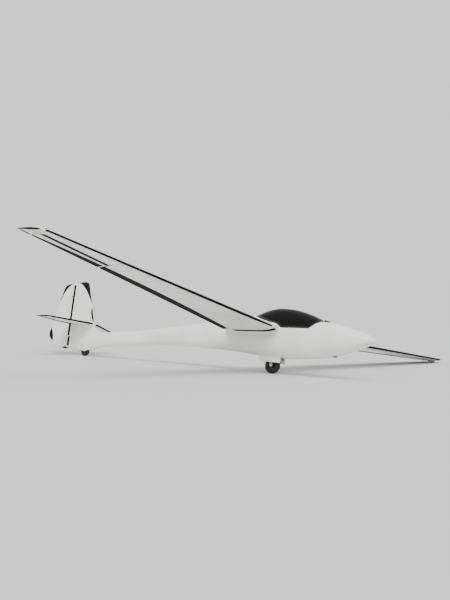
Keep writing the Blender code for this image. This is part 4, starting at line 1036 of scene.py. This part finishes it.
class SAILPLANE_OT_main_gear(Operator):
    """Adds the legs' brackets and cross tubes, the brake arm, and the doors' hinges, ribs and links"""

    bl_idname = "sailplane.main_gear"
    bl_label = "Main gear"

    def execute(self, context):
        fittings, bolts, hinges, ribs = shapes(4)
        for hand in HANDS:
            for station in (2.030, 2.165):
                add_slab(fittings, at(station, 0.0775 * hand, -0.1685), AFT, LEFT, (0.040, 0.011, 0.006), 0.2)
                add_bolt(bolts, at(station, 0.0775 * hand, -0.1715), -UP, 0.0042, 0.006)
            # A doubler plate on the outer face of each leg, held by three bolts
            plate, along = at(2.083, (LEG_FACE + 0.0012) * hand, -0.285), way(0.04, 0, -0.235)
            add_slab(fittings, plate, along, AFT, (0.150, 0.040, 0.0024))
            for height in (-0.235, -0.285, -0.335):
                add_bolt(bolts, at(2.072, (LEG_FACE + 0.0024) * hand, height), LEFT * hand, 0.0042, 0.005)
        for station, height, radius in ((2.150, -0.230, 0.009), (2.015, -0.205, 0.007)):
            add_rod(fittings, at(station, -0.0578, height), at(station, 0.0578, height), radius, 20)
        # Arm that works the drum brake, on the right leg
        add_slab(fittings, at(2.094, -0.0735, -0.392), way(0.35, 0, 0.94), AFT, (0.070, 0.012, 0.004))
        shown("leg_fittings", fittings, "enamel")
        shown("leg_bolts", bolts, "zinc")

        for hand in HANDS:
            for station in (1.905, 2.080, 2.255):
                height = mix(-0.300, -0.262, (station - 1.905) / 0.35)
                # The hinge's pin and its three collars, each as a place, half its length and its radius
                for step, half, radius in (
                    (0.0, 0.022, 0.004),
                    (-0.0145, 0.005, 0.0055),
                    (0.0, 0.005, 0.0055),
                    (0.0145, 0.005, 0.0055),
                ):
                    ends = [on_door(hand, station + step + end, 0.0042, height) for end in (-half, half)]
                    add_rod(hinges, *ends, radius, 14)
                leaf = on_door(hand, station, 0.0012, height - 0.016)
                add_slab(hinges, leaf, AFT, UP, (0.036, 0.024, 0.002))
                for step in (-0.011, 0.011):
                    foot = on_door(hand, station + step, 0.0022, height - 0.018)
                    add_screw(hinges, foot, -LEFT * hand, 0.003)
            for low, high, start, end in ((-0.352, -0.338, 1.885, 2.270), (-0.385, -0.360, 1.890, 2.150)):
                first, last = on_door(hand, start, 0.0022, low), on_door(hand, end, 0.0022, high)
                span = last - first
                add_slab(ribs, (first + last) / 2, span, UP, (span.length, 0.014, 0.0045))
            first, last = at(2.110, 0.0735 * hand, -0.300), at(2.170, 0.0835 * hand, -0.335)
            add_rod(hinges, first, last, 0.003)
            add_rod(hinges, last - LEFT * hand * 0.004, last + LEFT * hand * 0.0035, 0.006, 14)
        shown("door_hinges", hinges, "zinc")
        shown("door_ribs", ribs, "gelcoat")
        return {"FINISHED"}


class SAILPLANE_OT_tail_wheel(Operator):
    """Adds the grooved tail tyre and the bolts of its rim"""

    bl_idname = "sailplane.tail_wheel"
    bl_label = "Tail wheel"

    def execute(self, context):
        hub = at(TAIL_WHEEL[0], 0, TAIL_WHEEL[1])
        tread, bolts = shapes(2)
        outline = tyre_outline(0.071, 0.0209, 0.0562, (-0.006, 0.006), 0.003, 0.0018, 1500)
        add_ring(tread, hub, LEFT, outline, 64)
        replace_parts(shown("tail_tyre_grooved", tread, "rubber", "tail_wheel", smooth=45), "tail_tyre")
        for hand in HANDS:
            add_rim_bolts(bolts, hub + LEFT * hand * 0.0070, hand, 5, 0.033, 0.0032, 0.004)
        shown("tail_rim_bolts", bolts, "zinc", "tail_wheel")
        return {"FINISHED"}


# Canopy


class SAILPLANE_OT_canopy(Operator):
    """Adds the sliding window, the frame's screws, the catches and the jettison knob"""

    bl_idname = "sailplane.canopy"
    bl_label = "Canopy fittings"

    def execute(self, context):
        screws = context.scene.sailplane_sizes.frame_screws
        pane, rails, heads, knobs, catches, bolts = shapes(6)
        # The sliding window is on the pilot's left, in front
        glass = "canopy_glass"
        direction, rise = way(0, -1, -0.35), way(0, -0.35, 1)
        line = even(at(1.300, 0.0, 0.315), at(1.490, 0.0, 0.335), 14)
        add_tape(pane, glass, line, rise, direction, 0.105, 0.0025, 9, 0.5)
        for offset in (-0.058, 0.058):
            ends = line[0] + rise * offset - AFT * 0.010, line[-1] + rise * offset + AFT * 0.16
            add_tape(rails, glass, even(*ends, 24), rise, direction, 0.007, 0.0045, 3, 0.5)
        for end in (line[0], line[-1]):
            upright = even(end - rise * 0.052, end + rise * 0.052, 12)
            add_tape(rails, glass, upright, AFT, direction, 0.007, 0.0034, 3, 0.5)
        middle, normal = land(glass, at(1.460, 0, 0.325), direction, 0.5)
        knob = [(0, 0.007), (0.004, 0.0055), (0.009, 0.0075), (0.012, 0.0060)]
        add_turned(rails, middle + normal * 0.0026, normal, knob, 20)
        shown("vent_window", pane, "acrylic", "canopy")
        shown("vent_rails", rails, "laminate", "canopy")

        # Each screw sits at the first height where the frame is met inside, above and below it too
        for hand in HANDS:
            for station in even(1.12, 2.34, screws):
                for height in (0.43, 0.40, 0.37, 0.34, 0.31, 0.28, 0.25, 0.22):
                    point = at(station, 0.02 * hand, height - 0.003)
                    near = [point + UP * step for step in (0.0, 0.010, -0.010)]
                    found = land_all("canopy_frame", near, LEFT * -hand, 0.5)
                    if len(found) == 3 and (found[0][0] - point).dot(LEFT * hand) > 0.05:
                        add_screw(heads, *found[0], 0.0036)
                        break
        shown("frame_screws", heads, "zinc", "canopy")

        for hand, target in ((1, catches), (-1, knobs)):
            hit, _, _, _ = skin("canopy_frame").ray_cast(at(1.340, 0.10 * hand, 0.206), LEFT * hand, 0.4)
            if hit is None:
                raise RuntimeError("the canopy catch misses the frame")
            inward = LEFT * -hand
            add_slab(catches, hit + inward * 0.004, AFT, UP, (0.060, 0.018, 0.007))
            add_rod(catches, hit + inward * 0.005, hit + inward * 0.026, 0.005, 16)
            grip = [(0, 0.0095), (0.004, 0.0120), (0.014, 0.0125), (0.019, 0.0095)]
            add_turned(target, hit + inward * 0.024, inward, grip, 24)
        shown("canopy_catches", catches, "zinc", "canopy")
        shown("jettison_knob", knobs, "red", "canopy")

        for left in (-0.080, 0.0, 0.080):
            add_bolt(bolts, at(CANOPY_HINGE[0] - 0.0102, left, CANOPY_HINGE[1] - 0.001), -AFT, 0.0032, 0.004)
        shown("hinge_bolts", bolts, "zinc")
        return {"FINISHED"}


# Cockpit

# Dial: distance to the left, height, radius of its face, ticks round it, needle's angle in degrees
DIALS = (
    (-0.095, 0.192, 0.036, 24, 310),
    (0.0, 0.192, 0.036, 20, 180),
    (0.095, 0.192, 0.036, 20, 90),
    (-0.095, 0.100, 0.025, 12, 40),
    (0.0, 0.100, 0.025, 12, 120),
    (0.095, 0.100, 0.025, 8, 250),
)
# Stations of the dials' faces, of the panel behind them, and of the radio on its pedestal
DIAL_FACE, PANEL, RADIO = 1.0553, 1.0503, 1.0600


class SAILPLANE_OT_instruments(Operator):
    """Adds the faces, rings, ticks and needles of the dials, the radio and the panel's screws"""

    bl_idname = "sailplane.instruments"
    bl_label = "Instruments"

    def execute(self, context):
        faces, bezels, prints, needles, screws = shapes(5)
        for left, height, radius, ticks, heading in DIALS:
            middle = at(DIAL_FACE, left, height)
            add_turned(faces, middle, AFT, [(0, radius), (0.0008, radius)], 48)
            outside = radius + 0.0035
            bezel = [(0, radius - 0.001), (0.0030, radius - 0.001), (0.0052, radius + 0.001)]
            bezel += [(0.0052, outside - 0.0012), (0.0040, outside), (0, outside)]
            add_ring(bezels, middle, AFT, bezel, 48)
            for i, spoke in enumerate(around(UP, LEFT, ticks)):
                long = radius * (0.22 if i % (ticks // 4) == 0 else 0.12)
                place = middle + spoke * (radius * 0.93 - long / 2) + AFT * 0.0009
                add_slab(prints, place, spoke, spoke.cross(AFT), (long, radius * 0.035, 0.0003), 0.2)
            angle = radians(heading)
            spoke = LEFT * sin(angle) + UP * cos(angle)
            place = middle + spoke * radius * 0.30 + AFT * 0.0019
            add_slab(needles, place, spoke, spoke.cross(AFT), (radius * 0.98, radius * 0.075, 0.0005))
            add_turned(needles, middle + AFT * 0.0008, AFT, [(0, radius * 0.11), (0.0018, radius * 0.09)], 20)
            # Screws at the dial's corners, but for those past the panel's edge
            reach = radius * 0.97
            for beside in (left - reach, left + reach):
                if abs(beside) < 0.149:
                    for step in (-reach, reach):
                        add_screw(screws, at(PANEL, beside, height + step), AFT, 0.0026)
        # Radio on the pedestal: a shallow box with a window and three knobs
        add_slab(bezels, at(1.0535, 0.0, 0.020), LEFT, UP, (0.088, 0.046, 0.012), 0.12)
        add_slab(faces, at(RADIO, 0.010, 0.026), LEFT, UP, (0.050, 0.018, 0.0012), 0.2)
        for left, height, radius in (
            (-0.030, 0.027, 0.0075),
            (0.030, 0.008, 0.0055),
            (-0.030, 0.007, 0.0055),
        ):
            grip = [(0, radius), (0.009, radius * 0.92), (0.0115, radius * 0.75)]
            add_turned(bezels, at(1.0595, left, height), AFT, grip, 20)
        for left in even(-0.006, 0.024, 4):
            add_slab(prints, at(1.0608, left, 0.026), UP, LEFT, (0.009, 0.0012, 0.0004), 0.2)
        # Row of switches at the panel's foot
        for left in (-0.135, -0.115, 0.115, 0.135):
            foot = at(1.0505, left, 0.058)
            add_turned(screws, foot, AFT, [(0, 0.0060), (0.003, 0.0055)], 6)
            add_rod(screws, foot + AFT * 0.002, foot + AFT * 0.014 + UP * 0.005, 0.0018, 10)
        shown("dial_faces", faces, "dial")
        shown("dial_rings", bezels, "grip")
        shown("dial_marks", prints, "print", smooth=60)
        shown("dial_needles", needles, "print", smooth=60)
        shown("panel_screws", screws, "zinc")
        return {"FINISHED"}


class SAILPLANE_OT_controls(Operator):
    """Adds the stick's grip and boot folds, the levers' knobs and the pedals' straps"""

    bl_idname = "sailplane.controls"
    bl_label = "Controls"

    def execute(self, context):
        grip, button, boot, sleeve, straps, treads = shapes(6)
        foot, top = at(1.174, 0, -0.06), at(1.176, 0, 0.03)
        up = (top - foot).normalized()
        outline = [(0.0, 0.0155), (0.004, 0.0178)]
        for low in even(0.010, 0.0725, 6):
            outline += [(low, 0.0178), (low + 0.003, 0.0166), (low + 0.007, 0.0166), (low + 0.010, 0.0178)]
        outline += [(0.088, 0.0185), (0.094, 0.0170), (0.0945, 0.0155), (0.0945, 0.0161), (0.0, 0.0161)]
        add_ring(grip, foot, up, outline, 28)
        add_turned(grip, top, up, [(0.0002, 0.0158), (0.006, 0.0150), (0.010, 0.0110)], 28)
        shown("stick_grip_ribs", grip, "grip")
        add_turned(button, top + up * 0.0098, up, [(0, 0.0050), (0.003, 0.0050), (0.0042, 0.0036)], 20)
        shown("talk_button", button, "red")
        base, tip = at(1.17, 0, -0.175), at(1.171, 0, -0.102)
        along = (tip - base).normalized()
        for share in even(0, 1, 5):
            radius = mix(0.037, 0.0165, share)
            fold = [(-0.003, radius), (0.0, radius + 0.0035), (0.003, radius), (0.0, radius - 0.002)]
            add_ring(boot, mix(base, tip, share * 0.93), along, fold, 28)
        shown("stick_boot_folds", boot, "leather")

        outline = [(0.0, 0.0145), (0.003, 0.0168), (0.060, 0.0172), (0.112, 0.0168), (0.116, 0.0145)]
        outline += [(0.116, 0.0142), (0.0, 0.0142)]
        add_ring(sleeve, at(1.127, 0.215, -0.0225), AFT, outline, 28)
        shown("airbrake_knob", sleeve, "blue")
        for name, finish_name, left in (("release_knob", "yellow", 0.032), ("trim_knob", "green", -0.032)):
            knob, stem = shapes(2)
            start = at(1.0465, left, -0.060)
            add_rod(stem, start, start + AFT * 0.024, 0.003)
            add_turned(stem, start, AFT, [(0, 0.008), (0.003, 0.007)], 20)
            ball = [(0.0, 0.006), (0.003, 0.010), (0.010, 0.0135), (0.017, 0.0115), (0.021, 0.006)]
            add_turned(knob, start + AFT * 0.020, AFT, ball, 24)
            shown(name, knob, finish_name)
            shown(name + "_stem", stem, "zinc")

        for left in (-0.085, 0.085):
            low, high = at(0.5735, left, -0.088), at(0.5245, left, 0.032)
            along = (high - low).normalized()
            out = LEFT.cross(along).normalized()
            out = out if out.dot(AFT) > 0 else -out
            for share in even(0.12, 0.87, 6):
                middle = mix(low, high, share) + out * 0.0006
                add_slab(treads, middle, LEFT, along, (0.076, 0.006, 0.0022))
            points = []
            for angle in even(0, pi, 9):
                over = LEFT * 0.047 * cos(angle) + out * (0.002 + 0.050 * sin(angle))
                points.append(mix(low, high, 0.45) + over)
            add_ribbon(straps, curve_through(points, 3), along, 0.026, 0.0018)
        shown("pedal_treads", treads, "grip")
        shown("pedal_straps", straps, "webbing")
        return {"FINISHED"}


# Cushions


def settled(piece):
    """Turns a piece's modifiers into its mesh, and returns that."""
    graph = bpy.context.evaluated_depsgraph_get()
    mesh = bpy.data.meshes.new_from_object(piece.evaluated_get(graph))
    piece.modifiers.clear()
    piece.data = mesh
    return mesh


def add_stuffed(name, rows, finish_name, voxel, cap, seams, depth):
    """
    Adds a cushion: a pad is remeshed, blown up a little as cloth, and sewn.

    rows run along the pad: a place below it, the way through it, its thickness and half its width.
    cap is how far a point may move. seams are planes, given by a place, a way across and a width,
    that pull the cover in by a depth, as rows of stitches do.
    """
    shape = bmesh.new()
    pad = []
    for place, out, thick, half in rows:
        low = [place + LEFT * half * share for share in (-1, -0.5, 0, 0.5, 1)]
        high = [place + LEFT * half * share + out * thick for share in (0.97, 0.5, 0, -0.5, -0.97)]
        pad.append([shape.verts.new(point) for point in low + high])
    close(shape, pad)
    piece = shown(name, shape, finish_name, smooth=60)
    remesh = piece.modifiers.new("remesh", "REMESH")
    remesh.mode = "VOXEL"
    remesh.voxel_size = voxel
    mesh = settled(piece)
    scene = bpy.context.scene
    cloth = piece.modifiers.new("cloth", "CLOTH")
    cloth.settings.use_pressure = True
    cloth.settings.uniform_pressure_force = 4.0
    cloth.settings.effector_weights.gravity = 0.0
    cloth.settings.quality = 5
    for number in range(1, 21):
        scene.frame_set(number)
    blown = piece.evaluated_get(bpy.context.evaluated_depsgraph_get()).data
    ends = [vertex.co.copy() for vertex in blown.vertices]
    for vertex, end in zip(mesh.vertices, ends):
        step = end - vertex.co
        vertex.co += step * min(1.0, cap / max(step.length, 1e-9))
    piece.modifiers.clear()
    scene.frame_set(1)
    mesh.update()
    normals = [vertex.normal.copy() for vertex in mesh.vertices]
    for vertex, normal in zip(mesh.vertices, normals):
        for place, across, width in seams:
            distance = abs((vertex.co - place).dot(across)) / width
            if distance < 1:
                vertex.co -= normal * depth * (0.5 + 0.5 * cos(pi * distance))
    subdivision = piece.modifiers.new("subdivision", "SUBSURF")
    subdivision.levels = subdivision.render_levels = 1
    for face in settled(piece).polygons:
        face.use_smooth = True
    return piece


class SAILPLANE_OT_cushions(Operator):
    """Adds the seat cushion, the back cushion and the headrest"""

    bl_idname = "sailplane.cushions"
    bl_label = "Cushions"

    def execute(self, context):
        rows, seams = [], []
        for station in (1.335, 1.350, 1.420, 1.490, 1.555, 1.612, 1.622):
            for (front, front_height), (rear, rear_height) in zip(SEAT_TOP, SEAT_TOP[1:]):
                if front <= station <= rear:
                    height = mix(front_height, rear_height, (station - front) / (rear - front))
            thick, half = (0.012, 0.168) if station in (1.335, 1.622) else (0.024, 0.178)
            rows.append((at(station, 0, height + 0.0045), UP, thick, half))
        for station in (1.405, 1.475, 1.545):
            seams.append((at(station, 0, -0.21), AFT, 0.010))
        add_stuffed("seat_cushion", rows, "cushion", 0.005, 0.006, seams, 0.0045)

        (low, low_height), (high, high_height) = SEAT_BACK
        lean, rise = high - low, high_height - low_height
        out, along = way(-rise, 0, lean), way(lean, 0, rise)
        rows, seams = [], []
        for height in (-0.188, -0.175, -0.10, -0.02, 0.06, 0.138, 0.150):
            cover = mix(0.042, 0.026, (height + 0.10) / 0.27) if height > -0.10 else 0.040
            thick, half = (0.010, 0.150) if height in (-0.188, 0.150) else (0.020, 0.160)
            start = seat_back(height, cover + 0.014)
            rows.append((start, out, thick, half - 0.020 * max(0.0, height) / 0.15))
        for height in (-0.125, -0.045, 0.035, 0.105):
            seams.append((seat_back(height, 0.06), along, 0.010))
        add_stuffed("back_cushion", rows, "cushion", 0.005, 0.006, seams, 0.0045)

        rows = []
        for height in (0.186, 0.194, 0.230, 0.266, 0.276):
            start = seat_back(height, 0.004) + UP * (0.003 if height < 0.2 else 0.0)
            share, half = (0.55, 0.072) if height in (0.186, 0.276) else (0.86, 0.080)
            thick = mix(0.044, 0.034, (height - 0.186) / 0.09) * share
            rows.append((start, way(-1, 0, 0.12), thick, half))
        seams = [(seat_back(0.231, 0.0), UP, 0.007)]
        headrest = add_stuffed("headrest_pad", rows, "leather", 0.004, 0.005, seams, 0.003)
        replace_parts(headrest, "headrest")
        return {"FINISHED"}


# How far a strap's middle lies off what it rests on
STRAP_LIFT = 0.0035


def on_seat(station, left, lift=0.0):
    """Where a strap rests on the seat cushion, or on the pan beside it."""
    point = [at(station, left, 0.0)]
    found = land_all("seat_cushion", point, -UP, 0.25) or land_all("seat_pan", point, -UP, 0.25)
    hit, normal = found[0]
    return hit + normal * STRAP_LIFT + UP * lift


def on_back(height, left):
    """Where a strap rests on the back cushion, or on the seat back above it."""
    start = seat_back(height, 0.30, left)
    for name in ("back_cushion", "seat_back"):
        hit, normal, _, _ = skin(name).ray_cast(start, AFT, 0.45)
        if hit is not None:
            return hit + (normal if normal.dot(AFT) < 0 else -normal) * STRAP_LIFT
    raise RuntimeError("a shoulder strap misses the seat back")


class SAILPLANE_OT_harness(Operator):
    """Adds the shoulder and lap straps with their buckle and adjusters"""

    bl_idname = "sailplane.harness"
    bl_label = "Harness"

    def execute(self, context):
        width = context.scene.sailplane_sizes.webbing_width
        straps, metal = shapes(2)
        for hand in HANDS:
            # From the slot in the seat back, over the back cushion and down to the buckle
            points = [seat_back(0.172, 0.0300, 0.105 * hand) + UP * 0.012]
            points.append(seat_back(0.160, 0.0520, 0.103 * hand) + UP * 0.010)
            for height, left in zip((0.115, 0.060, 0.0, -0.060, -0.120), (0.098, 0.090, 0.080, 0.068, 0.055)):
                points.append(on_back(height, left * hand))
            points.append(at(1.640, 0.045 * hand, -0.172))
            points.append(on_seat(1.575, 0.036 * hand, 0.004))
            points.append(on_seat(1.530, 0.026 * hand, 0.006))
            line = curve_through(points, 6)
            add_ribbon(straps, line, LEFT, width * 0.92, 0.0022)
            adjuster = on_back(-0.030, 0.0745 * hand) + way(-1, 0, 0.4) * 0.003
            add_slab(metal, adjuster, LEFT, line[30] - line[26], (width * 1.14, 0.022, 0.0045))

            points = [at(1.648, 0.205 * hand, -0.205), at(1.635, 0.192 * hand, -0.200)]
            for station, left in ((1.600, 0.150), (1.565, 0.105), (1.530, 0.060), (1.510, 0.028)):
                points.append(on_seat(station, left * hand, 0.002 if left > 0.03 else 0.006))
            add_ribbon(straps, curve_through(points, 6), way(1, 0.5 * hand, 0), width, 0.0022)
            plate = on_seat(1.552, 0.088 * hand, 0.004)
            along, across = way(0.62, -0.78 * hand, 0), way(0.78, 0.62 * hand, 0)
            add_slab(metal, plate, along, across, (0.024, width * 1.12, 0.0045))
            add_slab(metal, at(1.650, 0.209 * hand, -0.203), LEFT, UP, (0.006, 0.034, 0.030), 0.2)
        centre = on_seat(1.500, 0.0, 0.010)
        body = [(-0.004, 0.0240), (0.0, 0.0290), (0.010, 0.0300), (0.014, 0.0270), (0.0155, 0.0180)]
        add_turned(metal, centre, UP, body, 36)
        add_turned(metal, centre, UP, [(0.0155, 0.0140), (0.0215, 0.0140), (0.0235, 0.0120)], 8)
        for angle in (0.5, 1.2, -0.5, -1.2):
            out = AFT * cos(angle) + LEFT * sin(angle)
            add_slab(metal, centre + out * 0.036 + UP * 0.003, out, out.cross(UP), (0.026, 0.024, 0.0030))
        shown("harness_straps", straps, "webbing")
        shown("harness_metal", metal, "zinc")
        return {"FINISHED"}


# Small pieces outside


class SAILPLANE_OT_details(Operator):
    """Adds the release's rings, the static ports, and the skids' and airbrakes' screws"""

    bl_idname = "sailplane.details"
    bl_label = "Small pieces outside"

    def execute(self, context):
        hooks, screws = shapes(2)
        radius = 0.0120
        for station in (0.808, 0.833):
            arc = []
            for angle in even(0, pi, 13):
                depth = 0.3015 + radius * 0.9 * sin(angle)
                arc.append(at(station + radius * cos(angle), 0, -depth))
            add_tube(hooks, arc, 0.0028, 12)
        add_slab(hooks, at(0.8205, 0, -0.3028), AFT, LEFT, (0.058, 0.014, 0.0015))
        for station in (0.786, 0.854):
            for left in (-0.014, 0.014):
                add_screw(screws, at(station, left, -0.3021), -UP, 0.0032)
        shown("release_rings", hooks, "zinc")
        for hand, word in SIDES:
            leading, trailing, height = wing_edges(SKID_OUT)
            middle = mix(leading, trailing, 0.45)
            points = [at(station, SKID_OUT * hand, height) for station in (middle - 0.052, middle + 0.052)]
            for hit, normal in land_all(f"tip_skid_{word}", points, UP, 0.3):
                add_screw(screws, hit, normal, 0.0034)
        # Static ports on the boom
        port = [(0.0, 0.0012), (0.0006, 0.0012), (0.0006, 0.0040), (0.0, 0.0042)]
        for height in (0.08, 0.05):
            for hand in HANDS:
                add_ring(screws, *land("tail_boom", at(4.40, 0, height), LEFT * -hand), port, 20)
        shown("outside_screws", screws, "zinc")
        for hand, word in SIDES:
            heads = bmesh.new()
            points = []
            for out in even(1.98, 3.12, 9):
                leading, trailing, height = wing_edges(out)
                for step in (-0.011, 0.011):
                    points.append(at(mix(leading, trailing, 0.46) + step, out * hand, height + 0.1))
            for hit, normal in land_all(f"airbrake_{word}", points, -UP, 0.1):
                add_screw(heads, hit, normal, 0.0030)
            shown(f"airbrake_screws_{word}", heads, "zinc", f"airbrake_{word}_body")
        return {"FINISHED"}


# The panel that lists the steps, and their registration

STEPS = (
    SAILPLANE_OT_stage,
    SAILPLANE_OT_solids,
    SAILPLANE_OT_seals,
    SAILPLANE_OT_edges,
    SAILPLANE_OT_main_wheel,
    SAILPLANE_OT_main_gear,
    SAILPLANE_OT_tail_wheel,
    SAILPLANE_OT_canopy,
    SAILPLANE_OT_instruments,
    SAILPLANE_OT_controls,
    SAILPLANE_OT_cushions,
    SAILPLANE_OT_harness,
    SAILPLANE_OT_details,
)


class SAILPLANE_PT_steps(Panel):
    """Lists the sailplane's colours, sizes and steps"""

    bl_idname = "SAILPLANE_PT_steps"
    bl_label = "Parked sailplane"
    bl_space_type = "VIEW_3D"
    bl_region_type = "UI"
    bl_category = "Sailplane"

    def draw(self, context):
        for group in (context.scene.sailplane_colours, context.scene.sailplane_sizes):
            box = self.layout.box()
            for name in group.bl_rna.properties.keys():
                if name not in ("rna_type", "name"):
                    box.prop(group, name)
        for step in STEPS:
            self.layout.operator(step.bl_idname)


CLASSES = (SailplaneColours, SailplaneSizes, *STEPS, SAILPLANE_PT_steps)


def register():
    for kind in CLASSES:
        bpy.utils.register_class(kind)
    bpy.types.Scene.sailplane_colours = PointerProperty(type=SailplaneColours)
    bpy.types.Scene.sailplane_sizes = PointerProperty(type=SailplaneSizes)


def unregister():
    del bpy.types.Scene.sailplane_sizes
    del bpy.types.Scene.sailplane_colours
    for kind in reversed(CLASSES):
        bpy.utils.unregister_class(kind)


def main():
    register()
    for step in STEPS:
        getattr(bpy.ops.sailplane, step.bl_idname.split(".")[1])()


if __name__ == "__main__":
    main()
